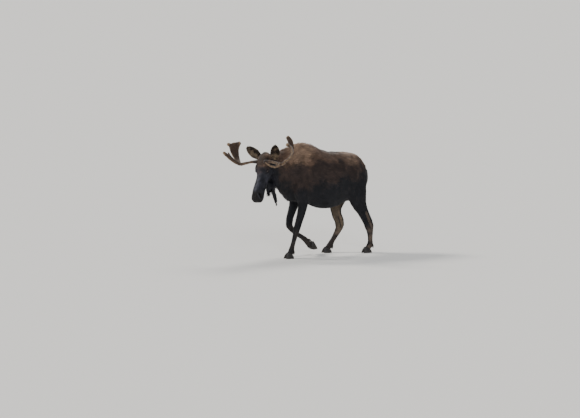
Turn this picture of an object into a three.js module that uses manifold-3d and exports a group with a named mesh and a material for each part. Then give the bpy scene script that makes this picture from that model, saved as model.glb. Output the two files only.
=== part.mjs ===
// A still, life-size figure of a young bull moose in velvet, walking with its head low.
//
// Frame: millimetres, +Z up. The moose faces -Y and its left side is +X. The soles stand on
// z = 0 and the origin is under the middle of the whole figure.
//
// Flesh is lofted through sections, joined, and then parted along thin cuts into the
// pieces a person would name. Each limb hangs on a chain of joints: the chains give the
// pose, and the girths along them, shared by left and right, give the build.

import * as THREE from "three";
import { mergeVertices } from "three/addons/utils/BufferGeometryUtils.js";
import Module from "manifold-3d";

const wasm = await Module();
wasm.setup();

// ---------------------------------------------------------------- driving dimensions

const GAP = 0.3; // between pieces that touch
const WITHERS_HEIGHT = 1755; // top of the shoulder hump
const BELLY_HEIGHT = 708; // lowest point of the belly

const HEAD_YAW = THREE.MathUtils.degToRad(24); // turned to its left
const HEAD_ROLL = THREE.MathUtils.degToRad(-5); // left antler carried higher
const HEAD_PITCH = THREE.MathUtils.degToRad(-24.5); // face off the vertical

const EYE_RADIUS = 20;
const EYE = { down: 271, out: 102, fore: 21 };
const EAR_LENGTH = 292;
const EAR_HALF_WIDTH = 79;
const EAR_CUP = 44; // how deep the ear is folded
const EAR_THICKNESS = 10;
const BURR = { down: 142, out: 97, fore: 78 }; // root of each antler on the skull

const HOOF_HEIGHT = 70; // sole to the middle of the coronet
const CORONET_TILT = THREE.MathUtils.degToRad(30); // the coronet rises towards the toe
const CLEFT = 7; // between the two cleaves

// Length from poll downwards, then forehead side, throat side and half-width.
const SKULL = [
  [-12, 45, 100, 62],
  [40, 84, 128, 94],
  [110, 104, 150, 106],
  [190, 104, 158, 112],
  [262, 98, 154, 119],
  [305, 79, 148, 100],
  [350, 64, 138, 77],
  [430, 76, 117, 70],
  [520, 95, 100, 73],
  [600, 101, 92, 83],
  [665, 88, 88, 92],
  [715, 64, 80, 91],
  [750, 45, 68, 80],
];
const LOWER_JAW = [
  [210, 40, 176, 88],
  [320, 40, 176, 78],
  [430, 40, 150, 60],
  [520, 50, 140, 52],
  [600, 60, 138, 52],
  [660, 70, 137, 51],
  [704, 82, 127, 40],
];

// Forward of the hind foot, then top, underside and half-width.
const TRUNK = [
  [12, 1274, 1020, 84],
  [62, 1410, 905, 160],
  [140, 1505, 862, 205],
  [250, 1556, 838, 240],
  [400, 1578, 788, 264],
  [570, 1590, 724, 282],
  [740, 1611, BELLY_HEIGHT, 292],
  [900, 1681, 736, 286],
  [1020, 1733, 786, 270],
  [1130, WITHERS_HEIGHT, 818, 244],
  [1240, 1750, 840, 218],
  [1340, 1704, 860, 192],
  [1420, 1600, 890, 154],
  [1462, 1390, 980, 106],
];
// Forward, left, then top, underside and half-width.
const NECK = [
  [1120, 0, 1690, 900, 188],
  [1260, 0, 1722, 940, 188],
  [1395, 6, 1698, 925, 166],
  [1500, 16, 1670, 978, 146],
  [1590, 32, 1655, 1092, 130],
  [1680, 46, 1645, 1158, 120],
  [1760, 56, 1618, 1245, 106],
  [1815, 62, 1566, 1350, 78],
];

// Joints of each limb: forward, left (mirrored for the right side by its sign), up.
const FORE_CHAINS = {
  left: [
    [1110, 118, 1480],
    [1240, 160, 1090],
    [1208, 164, 850],
    [1318, 164, 440],
    [1410, 164, 150],
    [1440, 164, HOOF_HEIGHT],
  ],
  right: [
    [1110, -118, 1480],
    [1228, -156, 1090],
    [1180, -146, 850],
    [1290, -116, 478],
    [1018, -110, 236],
    [918, -110, 124],
  ],
};
const HIND_CHAINS = {
  left: [
    [255, 108, 1370],
    [242, 152, 900],
    [132, 158, 632],
    [22, 160, 390],
    [4, 160, 155],
    [46, 160, HOOF_HEIGHT],
  ],
  right: [
    [255, -108, 1370],
    [392, -150, 900],
    [440, -153, 636],
    [374, -151, 404],
    [524, -150, 150],
    [584, -150, HOOF_HEIGHT],
  ],
};
const TOE_PITCH = {
  fore_left: 0,
  fore_right: THREE.MathUtils.degToRad(120), // swinging foot, toe hanging down and back
  hind_left: 0,
  hind_right: 0,
};
const TOE_SPLAY = THREE.MathUtils.degToRad(8);

// Place along the chain (0 at the first joint), then reach forward, back and sideways.
const FORE_UPPER = [
  [0, 120, 120, 66],
  [0.5, 158, 150, 88],
  [1, 156, 138, 92],
  [1.55, 126, 120, 82],
  [2, 88, 90, 64],
  [2.35, 66, 76, 54],
  [2.65, 61, 64, 47],
  [3, 60, 52, 45],
];
const FORE_LOWER = [
  [3, 58, 50, 44],
  [3.25, 47, 40, 37],
  [3.5, 38, 36, 30],
  [3.8, 36, 37, 31],
  [4, 40, 47, 38],
  [4.5, 41, 44, 42],
  [5, 44, 44, 46],
];
const HIND_UPPER = [
  [0, 150, 120, 80],
  [0.35, 190, 178, 104],
  [0.75, 197, 180, 106],
  [1, 164, 174, 94],
  [1.4, 130, 138, 77],
  [1.75, 101, 106, 61],
  [2.2, 79, 96, 49],
  [2.6, 71, 96, 44],
  [3, 66, 88, 43],
];
const HIND_LOWER = [
  [3, 64, 78, 42],
  [3.2, 55, 63, 37],
  [3.5, 44, 48, 31],
  [3.8, 37, 41, 32],
  [4, 41, 49, 38],
  [4.5, 41, 44, 42],
  [5, 44, 44, 46],
];

// Antlers: forward, outward, up from the burr, then two half-sizes.
const BEAM = [
  [-10, -50, 2, 26, 26],
  [0, 4, 0, 27, 27],
  [2, 60, 1, 22, 22],
  [2, 150, -10, 21, 21],
  [10, 235, -25, 24, 24],
  [14, 300, -31, 26, 27],
  [-4, 345, -14, 24, 28],
];
const PALM_STEM = [
  [-12, 338, -14, 22, 32],
  [-40, 374, 14, 19, 40],
  [-62, 412, 62, 16, 49],
  [-73, 442, 125, 15, 62],
  [-73, 454, 190, 16, 78],
];
// The left palm curls in at its top, and the right one leans out.
const PALM_TOPS = {
  left: [
    [-67, 436, 258, 18, 86],
    [-54, 388, 304, 20, 78],
  ],
  right: [
    [-68, 444, 250, 20, 92],
    [-56, 436, 280, 24, 98],
  ],
};
// Buds along a palm's top: place across it, from -1 at the back to 1 in front, and radius.
const PALM_BUDS = [
  [-0.86, 30],
  [0.02, 29],
  [0.9, 32],
];
const REAR_TINE = [
  [-100, 444, 150, 13, 26],
  [-106, 426, 215, 15, 38],
  [-106, 396, 270, 16, 44],
  [-98, 362, 322, 15, 32],
];
const BROW_TINES = {
  left: [
    [16, 290, -34, 21, 22],
    [62, 262, -66, 18, 19],
    [112, 232, -79, 16, 17],
    [174, 190, -50, 13, 14],
    [230, 150, 2, 9, 10],
  ],
  right: [
    [14, 300, -24, 22, 24],
    [56, 340, 2, 23, 28],
    [106, 388, 60, 21, 31],
    [150, 430, 120, 21, 29],
    [184, 466, 168, 19, 23],
  ],
};
// The right brow tine has a second, shorter prong.
const BROW_PRONG = [
  [84, 372, 40, 14, 18],
  [104, 408, 100, 15, 19],
  [112, 436, 160, 11, 13],
];
// The left beam dips deeper, its palm is lower and its rear tine taller than on the right.
const BEAM_RISE = { left: 1.55, right: 1 };
const PALM_RISE = { left: 0.8, right: 1 };
const REAR_TINE_RISE = { left: 1.12, right: 0.92 };
const PALM_SWEEP = [0.809, 0.588]; // forward and outward lie of the palm's width

// ---------------------------------------------------------------- frame and finishes

/** A point or a direction in the body's own terms: forward, to its left, up. */
const at = (forward, left, up) => new THREE.Vector3(left, -forward, up);

const LEFTWARD = at(0, 1, 0);
const FORWARD = at(1, 0, 0);

const finish = (color, roughness) =>
  new THREE.MeshStandardMaterial({ color, roughness, metalness: 0 });
const UPPER_COAT = 0x5a4236;
const FLANK_COAT = 0x33291f;
const LEG_COAT = 0x3a3531;
const FACE_COAT = 0x3d3430;
const VELVET = 0x6f5440;
const HOOF_HORN = 0x1c1917;
const EYE_BROWN = 0x120b07;

// ---------------------------------------------------------------- solids

/** A closed three.js geometry as a solid that can be joined and cut. */
function solidOf(geometry) {
  const bare = new THREE.BufferGeometry();
  bare.setAttribute("position", geometry.getAttribute("position"));
  bare.setIndex(geometry.getIndex());
  const merged = mergeVertices(bare, 1e-3);
  return new wasm.Manifold(
    new wasm.Mesh({
      numProp: 3,
      vertProperties: new Float32Array(merged.getAttribute("position").array),
      triVerts: new Uint32Array(merged.getIndex().array),
    }),
  );
}

function geometryOf(solid) {
  const { vertProperties, triVerts } = solid.getMesh();
  const geometry = new THREE.BufferGeometry();
  geometry.setAttribute("position", new THREE.BufferAttribute(vertProperties, 3));
  geometry.setIndex(new THREE.BufferAttribute(triVerts, 1));
  geometry.computeVertexNormals();
  return geometry;
}

const join = (...solids) => solids.reduce((whole, next) => whole.add(next));

/** The main body of a solid, without the crumbs that a cut can leave. */
const mainBody = (solid) =>
  solid.decompose().reduce((big, next) => (next.volume() > big.volume() ? next : big));

/** What lies beyond a plane, half a gap clear of it. */
const beyond = (solid, point, normal) =>
  solid.trimByPlane(normal.toArray(), normal.dot(point) + GAP / 2);

/** A solid parted along a plane into what lies beyond it and what lies before it. */
const part = (solid, point, normal) => [
  beyond(solid, point, normal),
  beyond(solid, point, normal.clone().negate()),
];

// ---------------------------------------------------------------- lofts

const signedPower = (value, power) => Math.sign(value) * Math.abs(value) ** power;

/**
 * A closed skin through sections. A station is { centre, up, down, side }: where the
 * section is and how far it reaches to each side of its centre. `side` is the direction
 * of the sideways reach; `facing` fixes the sections' normal, which otherwise follows
 * the line of centres. `square` gives the roundness of the upper and the lower half: 2
 * is an ellipse and more is boxier. `caps` rounds off the two ends, as a share of their
 * smallest reach, and `grow` thickens the whole.
 */
function loft(stations, options) {
  const { side, rings, segments, facing = null } = options;
  const { square = [2.2, 2.2], caps = [0.8, 0.8], grow = 0 } = options;
  const line = (pick) => new THREE.CatmullRomCurve3(stations.map(pick), false, "catmullrom");
  const centres = line((s) => s.centre);
  const reaches = line((s) => new THREE.Vector3(s.up, s.down, s.side));

  const sections = [];
  for (let i = 0; i <= rings; i++) {
    const t = i / rings;
    sections.push({
      centre: centres.getPoint(t),
      reach: reaches.getPoint(t).addScalar(grow),
      normal: facing ?? centres.getTangent(t),
    });
  }
  const poles = [];
  [sections[0], sections[rings]].forEach((end, which) => {
    const outward = end.normal.clone().multiplyScalar(which === 0 ? -1 : 1);
    const depth = Math.min(...end.reach.toArray()) * caps[which];
    poles.push(end.centre.clone().addScaledVector(outward, depth + grow));
    if (depth <= 0) return;
    const bends = [30, 60].map(THREE.MathUtils.degToRad);
    for (const bend of bends) {
      const rounded = {
        centre: end.centre.clone().addScaledVector(outward, depth * Math.sin(bend)),
        reach: end.reach.clone().multiplyScalar(Math.cos(bend)),
        normal: end.normal,
      };
      if (which === 0) sections.unshift(rounded);
      else sections.push(rounded);
    }
  });

  const points = [];
  for (const { centre, reach, normal } of sections) {
    const across = side.clone().addScaledVector(normal, -side.dot(normal)).normalize();
    const upward = normal.clone().cross(across);
    for (let i = 0; i < segments; i++) {
      const turn = (2 * Math.PI * i) / segments;
      const power = 2 / (Math.sin(turn) >= 0 ? square[0] : square[1]);
      const sideways = reach.z * signedPower(Math.cos(turn), power);
      const rise = signedPower(Math.sin(turn), power);
      points.push(
        centre
          .clone()
          .addScaledVector(across, sideways)
          .addScaledVector(upward, rise * (rise >= 0 ? reach.x : reach.y)),
      );
    }
  }
  points.push(...poles);

  const faces = [];
  const last = (sections.length - 1) * segments;
  const [startPole, endPole] = [points.length - 2, points.length - 1];
  for (let i = 0; i < segments; i++) {
    const j = (i + 1) % segments;
    for (let row = 0; row < last; row += segments) {
      faces.push(row + i, row + j, row + segments + j);
      faces.push(row + i, row + segments + j, row + segments + i);
    }
    faces.push(startPole, j, i, endPole, last + i, last + j);
  }
  const geometry = new THREE.BufferGeometry().setFromPoints(points);
  geometry.setIndex(faces);
  return solidOf(geometry);
}

const ALONG_BODY = { side: LEFTWARD, facing: FORWARD };

/** The reaches up, down and sideways of a section whose top and underside are heights. */
const upright = (forward, left, top, underside, side) => {
  const middle = underside + 0.52 * (top - underside);
  return { centre: at(forward, left, middle), up: top - middle, down: middle - underside, side };
};

// ---------------------------------------------------------------- trunk, neck, head

const trunkFlesh = (grow) =>
  loft(
    TRUNK.map(([forward, ...reach]) => upright(forward, 0, ...reach)),
    { ...ALONG_BODY, rings: 16, segments: 16, square: [1.95, 2.15], caps: [0.5, 0.4], grow },
  );
const neckFlesh = (grow) =>
  loft(
    NECK.map((row) => upright(...row)),
    { ...ALONG_BODY, rings: 8, segments: 16, square: [1.95, 2.1], caps: [0, 0], grow },
  );

const headGroup = new THREE.Group();
headGroup.position.copy(at(1802, 50, 1612));
headGroup.rotation.set(HEAD_PITCH, HEAD_ROLL, HEAD_YAW, "ZYX");
headGroup.updateMatrixWorld(true);

/** A point of the head: down the face from the poll, out to its left, towards the brow. */
const onHead = (down, out, fore) =>
  new THREE.Vector3(out, -fore, -down).applyMatrix4(headGroup.matrixWorld);
/** A direction of the head, in the same terms. */
const alongHead = (down, out, fore) =>
  new THREE.Vector3(out, -fore, -down).transformDirection(headGroup.matrixWorld);

/** The head without its ears: an upper part to the overhanging lip, and a lower jaw. */
function headFlesh(grow) {
  // Sections face down the face, so their upward reach is towards the brow.
  const stations = (profile) =>
    profile.map(([down, brow, throat, side]) => ({
      centre: onHead(down, 0, 0),
      up: brow,
      down: throat,
      side,
    }));
  const lie = { side: alongHead(0, 1, 0), facing: alongHead(1, 0, 0), grow };
  const skull = loft(stations(SKULL), { ...lie, rings: 13, segments: 14, square: [2.5, 2.3], caps: [0.5, 0.45] });
  const jaw = loft(stations(LOWER_JAW), { ...lie, rings: 6, segments: 10, square: [2.2, 2.4], caps: [0, 0.6] });
  return join(skull, jaw);
}

const eyePlaces = { left: onHead(EYE.down, EYE.out, EYE.fore), right: onHead(EYE.down, -EYE.out, EYE.fore) };

function ball(centre, radius, segments = 9, rings = 6) {
  const sphere = new THREE.SphereGeometry(radius, segments, rings);
  return solidOf(sphere.translate(...centre.toArray()));
}

const sockets = Object.values(eyePlaces).map((centre) => ball(centre, EYE_RADIUS + GAP));
const grownHead = headFlesh(GAP);
const grownBody = join(trunkFlesh(GAP), neckFlesh(GAP));
const headAndNeck = join(headFlesh(0), neckFlesh(0)).subtract(join(...sockets));

// The cut behind the ears and the jaw, and the cut from the withers to the breast.
const NAPE = { point: at(1712, 0, 1560), normal: at(0.985, 0.06, -0.16).normalize() };
const COLLAR = { point: at(1405, 0, 1400), normal: at(0.95, 0, 0.3).normalize() };

const [head, behindHead] = part(headAndNeck, NAPE.point, NAPE.normal);
const torso = join(behindHead, trunkFlesh(0));
const [neck, chestAndBelly] = part(torso, COLLAR.point, COLLAR.normal);

// ---------------------------------------------------------------- limbs

const chainLine = (chain) =>
  new THREE.CatmullRomCurve3(chain.map((joint) => at(...joint)), false, "catmullrom");

/** One stretch of a limb: sections at places along its chain of joints. */
function limbStretch(limb, girths, options) {
  const stations = girths.map(([place, fore, back, side]) => ({
    centre: across(limb, place).point,
    up: fore,
    down: back,
    side,
  }));
  return loft(stations, { side: LEFTWARD, ...options });
}

/** The plane across a limb at a place along its chain. */
function across({ line, chain }, place) {
  const share = place / (chain.length - 1);
  return { point: line.getPoint(share), normal: line.getTangent(share) };
}

/** An arch-shaped block, open side down, that takes one limb out of the body. */
function limbArch({ middle, springing, radius, waist, feet, inner, left }, grow) {
  const outerFace = 420;
  const floor = -60;
  const reach = radius + grow;
  const arch = new THREE.Shape();
  arch.moveTo(feet[0] - grow, floor);
  arch.lineTo(middle - reach, waist);
  arch.lineTo(middle - reach, springing);
  arch.absarc(middle, springing, reach, Math.PI, 0, true);
  arch.lineTo(middle + reach, waist);
  arch.lineTo(feet[1] + grow, floor);
  arch.closePath();
  const width = outerFace - inner + grow;
  const block = new THREE.ExtrudeGeometry(arch, { depth: width, bevelEnabled: false, curveSegments: 9 });
  // The outline lies in forward and up, so the block is swung round to run sideways.
  const swing = new THREE.Matrix4().makeBasis(at(1, 0, 0), at(0, 0, 1), at(0, -1, 0));
  block.applyMatrix4(swing);
  block.translate(left ? outerFace : grow - inner, 0, 0);
  return solidOf(block);
}

const ARCHES = {
  fore_left: { middle: 1240, springing: 1010, radius: 168, waist: 800, feet: [1000, 1720], inner: 58, left: true },
  fore_right: { middle: 1240, springing: 1010, radius: 168, waist: 800, feet: [600, 1500], inner: 58, left: false },
  hind_left: { middle: 215, springing: 1000, radius: 238, waist: 700, feet: [-260, 330], inner: 14, left: true },
  hind_right: { middle: 335, springing: 1000, radius: 245, waist: 700, feet: [80, 900], inner: 14, left: false },
};

const LIMBS = {};
for (const sideName of ["left", "right"]) {
  LIMBS["fore_" + sideName] = {
    chain: FORE_CHAINS[sideName],
    upper: FORE_UPPER,
    lower: FORE_LOWER,
    names: ["upper_arm", "forearm", "cannon"],
    firstCut: 2,
  };
  LIMBS["hind_" + sideName] = {
    chain: HIND_CHAINS[sideName],
    upper: HIND_UPPER,
    lower: HIND_LOWER,
    names: ["thigh", "shank", "cannon"],
    firstCut: 1.4,
  };
}

for (const limb of Object.values(LIMBS)) {
  limb.line = chainLine(limb.chain);
  limb.lowerFlesh = (grow) =>
    limbStretch(limb, limb.lower, { rings: 8, segments: 10, caps: [0.8, 0], grow });
  limb.flesh = join(
    limbStretch(limb, limb.upper, { rings: 9, segments: 10, caps: [0, 0.8] }),
    limb.lowerFlesh(0),
  );
}

let trunk = join(chestAndBelly, ...Object.values(LIMBS).map((limb) => limb.flesh));
const whole = trunk;
for (const [name, limb] of Object.entries(LIMBS)) {
  limb.cut = mainBody(whole.intersect(limbArch(ARCHES[name], 0)));
  trunk = trunk.subtract(limbArch(ARCHES[name], GAP));
}
trunk = mainBody(trunk);

// ---------------------------------------------------------------- feet

/** Closes rings of points, lowest first, with a fan at each end. */
function stacked(rows, lowPole, highPole) {
  const segments = rows[0].length;
  const points = [...rows.flat(), lowPole, highPole];
  const [low, high] = [points.length - 2, points.length - 1];
  const last = (rows.length - 1) * segments;
  const faces = [];
  for (let i = 0; i < segments; i++) {
    const j = (i + 1) % segments;
    for (let row = 0; row < last; row += segments) {
      faces.push(row + i, row + j, row + segments + j);
      faces.push(row + i, row + segments + j, row + segments + i);
    }
    faces.push(low, j, i, high, last + i, last + j);
  }
  const geometry = new THREE.BufferGeometry().setFromPoints(points);
  geometry.setIndex(faces);
  return geometry;
}

// Height over the sole, heel, toe, inner and outer reach of one cleave.
const CLEAVE_LAYERS = [
  { up: 0, heel: -60, toe: 92, inner: 0, outer: 52 },
  { up: 34, heel: -57, toe: 74, inner: 0, outer: 49 },
  { up: HOOF_HEIGHT, heel: -42, toe: 40, inner: 2, outer: 40 },
];

/** One cleave of a hoof, under the middle of its coronet: flat below, toe forward. */
function cleave(outward) {
  const segments = 12;
  const rise = (up, forward) => (up / HOOF_HEIGHT) * Math.tan(CORONET_TILT) * forward;
  const rows = CLEAVE_LAYERS.map(({ up, heel, toe, inner, outer }) => {
    const [half, wide] = [(toe - heel) / 2, (outer - inner) / 2];
    return Array.from({ length: segments }, (_, i) => {
      const turn = (outward * 2 * Math.PI * i) / segments;
      const narrowing = 1 - 0.42 * Math.max(0, Math.cos(turn)) ** 2;
      const forward = heel + half + half * Math.cos(turn);
      const splay = Math.tan(TOE_SPLAY) * Math.max(0, forward) * (1 - up / HOOF_HEIGHT);
      const out = CLEFT / 2 + inner + wide + wide * signedPower(Math.sin(turn), 0.8) * narrowing;
      return at(forward, (out + splay) * outward, up + rise(up, forward));
    });
  });
  const middle = (CLEFT / 2 + 24) * outward;
  return stacked(rows, at(5, middle, 0), at(0, middle, HOOF_HEIGHT));
}

// Down the pastern from the fetlock, then behind it, then two half-sizes.
const DEWCLAW = [
  [-6, 22, 14, 15],
  [18, 40, 15, 16],
  [40, 49, 14, 15],
  [58, 53, 8, 10],
];
const DEWCLAW_SPREAD = 23;

/** A dewclaw, behind the fetlock and to one side. */
function dewclaw(limb, outward) {
  const { point, normal } = across(limb, 4.1);
  const back = LEFTWARD.clone().cross(normal);
  const stations = DEWCLAW.map(([down, behind, thick, wide]) => ({
    centre: point
      .clone()
      .addScaledVector(normal, down)
      .addScaledVector(back, behind)
      .addScaledVector(LEFTWARD, DEWCLAW_SPREAD * outward),
    up: thick,
    down: thick,
    side: wide,
  }));
  return loft(stations, { side: LEFTWARD, rings: 2, segments: 5, caps: [0, 0.7] });
}

for (const [name, limb] of Object.entries(LIMBS)) {
  const coronet = at(...limb.chain[limb.chain.length - 1]);
  limb.foot = new THREE.Group();
  limb.foot.position.copy(coronet);
  limb.foot.rotation.set(TOE_PITCH[name], 0, 0);
  limb.foot.updateMatrixWorld(true);
  const crown = at(-Math.sin(CORONET_TILT), 0, Math.cos(CORONET_TILT));
  const crownNormal = crown.transformDirection(limb.foot.matrixWorld);
  const crownPoint = coronet.clone().addScaledVector(crownNormal, GAP);
  limb.cut = mainBody(beyond(limb.cut, crownPoint, crownNormal));
}

// ---------------------------------------------------------------- ears

/** An ear: a leaf folded lengthwise into a cup, from its root in the skull to its tip. */
function ear(root, axis, opening) {
  const rows = 7;
  const panels = 5;
  const open = opening.clone().addScaledVector(axis, -opening.dot(axis)).normalize();
  const wide = open.clone().cross(axis).normalize();
  const leaf = (t) => Math.min(1, 0.55 + 1.1 * t) * Math.sqrt(1 - (Math.max(0, t - 0.4) / 0.6) ** 2);
  const rings = [];
  for (let row = 0; row <= rows; row++) {
    const t = (row / rows) * 0.97;
    const half = EAR_HALF_WIDTH * leaf(t);
    const cup = EAR_CUP * Math.min(1, leaf(t)) * (1 - 0.45 * t);
    const thick = EAR_THICKNESS * (1.5 - 0.75 * t);
    const centre = root.clone().addScaledVector(axis, EAR_LENGTH * t);
    const place = (u, depth) =>
      centre.clone().addScaledVector(wide, half * u).addScaledVector(open, depth);
    const back = [];
    const front = [];
    for (let i = 0; i <= panels; i++) {
      const u = (2 * i) / panels - 1;
      const bowl = -cup * (1 - u * u);
      back.push(place(u, bowl));
      front.unshift(place(u * 0.93, bowl + thick * (0.35 + 0.65 * Math.sqrt(1 - u * u))));
    }
    rings.push([...back, ...front]);
  }
  const tip = root.clone().addScaledVector(axis, EAR_LENGTH).addScaledVector(open, -2);
  const foot = root.clone().addScaledVector(axis, -6).addScaledVector(open, -10);
  return solidOf(stacked(rings, foot, tip));
}

// Lie and opening of each ear, in the level head's forward, left and up.
const EARS = {
  left: { down: 58, out: 126, fore: -80, lie: [0.4, 0.42, 0.81], opening: [0.85, 0.5, -0.2] },
  right: { down: 52, out: -94, fore: -30, lie: [0.54, -0.61, 0.74], opening: [0.84, 0.36, 0.1] },
};

const levelHead = new THREE.Group();
levelHead.position.copy(headGroup.position);
levelHead.rotation.set(0, HEAD_ROLL, HEAD_YAW, "ZYX");
levelHead.updateMatrixWorld(true);
const levelWay = (forward, left, up) =>
  at(forward, left, up).transformDirection(levelHead.matrixWorld);

// ---------------------------------------------------------------- antlers

/** A stretch of antler through [forward, outward, up, half-thickness, half-width] rows. */
function antlerStretch(burr, outward, rows, options) {
  const { rise = 1, lie = [0, 0, 1], rings, segments = 8, square = [2.2, 2.2], caps, grow } = options;
  const stations = rows.map(([forward, out, up, thick, wide]) => ({
    centre: burr.clone().add(at(forward, out * outward, up * rise).applyQuaternion(levelTurn)),
    up: thick,
    down: thick,
    side: wide,
  }));
  const side = levelWay(lie[0], lie[1] * outward, lie[2]);
  return loft(stations, { side, rings, segments, square, caps, grow });
}
const levelTurn = levelHead.quaternion;

/** An antler parted at its forks: its beam, brow tine, palm and rear tine. */
function antler(sideName) {
  const outward = sideName === "left" ? 1 : -1;
  const burr = onHead(BURR.down, BURR.out * outward, BURR.fore);
  const beam = (grow) =>
    antlerStretch(burr, outward, BEAM, {
      rise: BEAM_RISE[sideName],
      rings: 8,
      lie: [1, 0, 0],
      caps: [0, 0.7],
      grow,
    });
  const palm = (grow) =>
    antlerStretch(burr, outward, [...PALM_STEM, ...PALM_TOPS[sideName]], {
      rise: PALM_RISE[sideName],
      rings: 5,
      segments: 10,
      lie: [...PALM_SWEEP, 0],
      square: [2.6, 2.6],
      caps: [0.5, 0.9],
      grow,
    });
  const [forward, out, up, , wide] = PALM_TOPS[sideName][1];
  const rim = burr.clone().add(at(forward, out * outward, up * PALM_RISE[sideName]).applyQuaternion(levelTurn));
  const sweep = levelWay(PALM_SWEEP[0], PALM_SWEEP[1] * outward, 0);
  const buds = (grow) =>
    PALM_BUDS.map(([across, radius]) => ball(rim.clone().addScaledVector(sweep, across * wide), radius + grow, 6, 4));
  const tine = (rows, rings) =>
    antlerStretch(burr, outward, rows, { rings, lie: [0, 0, 1], caps: [0, 0.9], grow: 0 });
  const brow = tine(BROW_TINES[sideName], 6);
  const prong = sideName === "right" ? [tine(BROW_PRONG, 3)] : [];
  const rear = antlerStretch(burr, outward, REAR_TINE, {
    rise: REAR_TINE_RISE[sideName],
    rings: 5,
    lie: [-0.45, 1, 0],
    square: [2.4, 2.4],
    caps: [0, 0.9],
    grow: 0,
  });
  return {
    beam: beam(0).subtract(grownHead),
    palm: join(palm(0), ...buds(0)).subtract(beam(GAP)),
    brow_tine: join(brow, ...prong).subtract(beam(GAP)).subtract(palm(GAP)),
    rear_tine: rear.subtract(join(palm(GAP), ...buds(GAP))),
  };
}

// ---------------------------------------------------------------- bell and tail

const throatRows = (rows) =>
  rows.map(([forward, left, up, fore, side]) => ({ centre: at(forward, left, up), up: fore, down: fore, side }));

// The bell, a hanging flap of skin and long hair, with a tuft under the jaw before it.
const BELL = throatRows([
  [1720, 84, 1214, 78, 38],
  [1702, 88, 1110, 40, 27],
  [1688, 90, 1040, 27, 23],
  [1666, 90, 950, 23, 20],
  [1640, 90, 856, 9, 9],
]);
const JAW_TUFT = throatRows([
  [1770, 92, 1196, 52, 38],
  [1780, 96, 1090, 32, 24],
  [1782, 98, 1032, 9, 9],
]);
const TAIL = throatRows([
  [24, 0, 1296, 22, 32],
  [-8, 0, 1262, 22, 33],
  [-25, 0, 1200, 17, 27],
  [-30, 0, 1152, 9, 15],
]);

const throatLoft = (stations, rings) =>
  loft(stations, { side: LEFTWARD, rings, segments: 8, caps: [0, 0.9] });

// ---------------------------------------------------------------- assembly

const moose = new THREE.Group();

/** Hangs a solid, made where it stands, in a group of the scene as a named mesh. */
function hang(group, name, solid, material) {
  const geometry = geometryOf(mainBody(solid));
  geometry.applyMatrix4(group.matrixWorld.clone().invert());
  const mesh = new THREE.Mesh(geometry, material);
  mesh.name = name;
  group.add(mesh);
  return mesh;
}

hang(moose, "trunk", trunk, finish(UPPER_COAT, 0.9));
hang(moose, "neck", neck, finish(UPPER_COAT, 0.9));
hang(moose, "tail", throatLoft(TAIL, 4).subtract(grownBody), finish(FLANK_COAT, 0.9));
moose.add(headGroup, levelHead);
hang(headGroup, "head", head, finish(FACE_COAT, 0.85));
hang(
  headGroup,
  "bell",
  join(throatLoft(BELL, 6), throatLoft(JAW_TUFT, 3)).subtract(grownHead).subtract(grownBody),
  finish(FLANK_COAT, 0.9),
);

for (const sideName of ["left", "right"]) {
  hang(headGroup, "eye_" + sideName, ball(eyePlaces[sideName], EYE_RADIUS), finish(EYE_BROWN, 0.1));
  const { down, out, fore, lie, opening } = EARS[sideName];
  const earFlesh = ear(onHead(down, out, fore), levelWay(...lie), levelWay(...opening));
  hang(headGroup, "ear_" + sideName, earFlesh.subtract(grownHead).subtract(grownBody), finish(FACE_COAT, 0.9));
  for (const [piece, solid] of Object.entries(antler(sideName))) {
    hang(levelHead, "antler_" + sideName + "_" + piece, solid, finish(VELVET, 0.85));
  }
}

for (const [name, limb] of Object.entries(LIMBS)) {
  const bend = across(limb, limb.firstCut);
  const knee = across(limb, 3);
  const [below, upperPiece] = part(limb.cut, bend.point, bend.normal);
  const [cannonPiece, middlePiece] = part(below, knee.point, knee.normal);
  [upperPiece, middlePiece, cannonPiece].forEach((solid, i) =>
    hang(moose, "leg_" + name + "_" + limb.names[i], solid, finish(LEG_COAT, 0.9)),
  );
  moose.add(limb.foot);
  const grownCannon = limb.lowerFlesh(GAP);
  const towardsLeft = name.endsWith("left") ? 1 : -1;
  for (const [which, outward] of [["outer", towardsLeft], ["inner", -towardsLeft]]) {
    const hoof = new THREE.Mesh(cleave(outward), finish(HOOF_HORN, 0.5));
    hoof.name = "hoof_" + name + "_" + which;
    hoof.position.set(0, 0, -HOOF_HEIGHT);
    limb.foot.add(hoof);
    const claw = dewclaw(limb, outward).subtract(grownCannon);
    hang(limb.foot, "dewclaw_" + name + "_" + which, claw, finish(HOOF_HORN, 0.5));
  }
}

// The origin goes under the middle of the figure, on the level of the soles.
const box = new THREE.Box3().setFromObject(moose, true);
const middle = box.getCenter(new THREE.Vector3());
moose.position.set(-middle.x, -middle.y, -box.min.z);

const figure = new THREE.Group();
figure.add(moose);
export default figure;
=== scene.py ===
"""The looks of a still, life-size figure of a young bull moose in velvet.

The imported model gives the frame. One continuous skin is grown over its flesh, sculpted and
coated with locks of solid hair; the antlers, hooves and eyes are separate smooth pieces.
Everything is in metres: +X is the animal's left, +Y runs towards its tail and +Z is up.
"""

import logging
import math
from dataclasses import dataclass, field
from enum import Enum

import bpy
import numpy as np
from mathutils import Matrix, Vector
from mathutils.bvhtree import BVHTree


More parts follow.
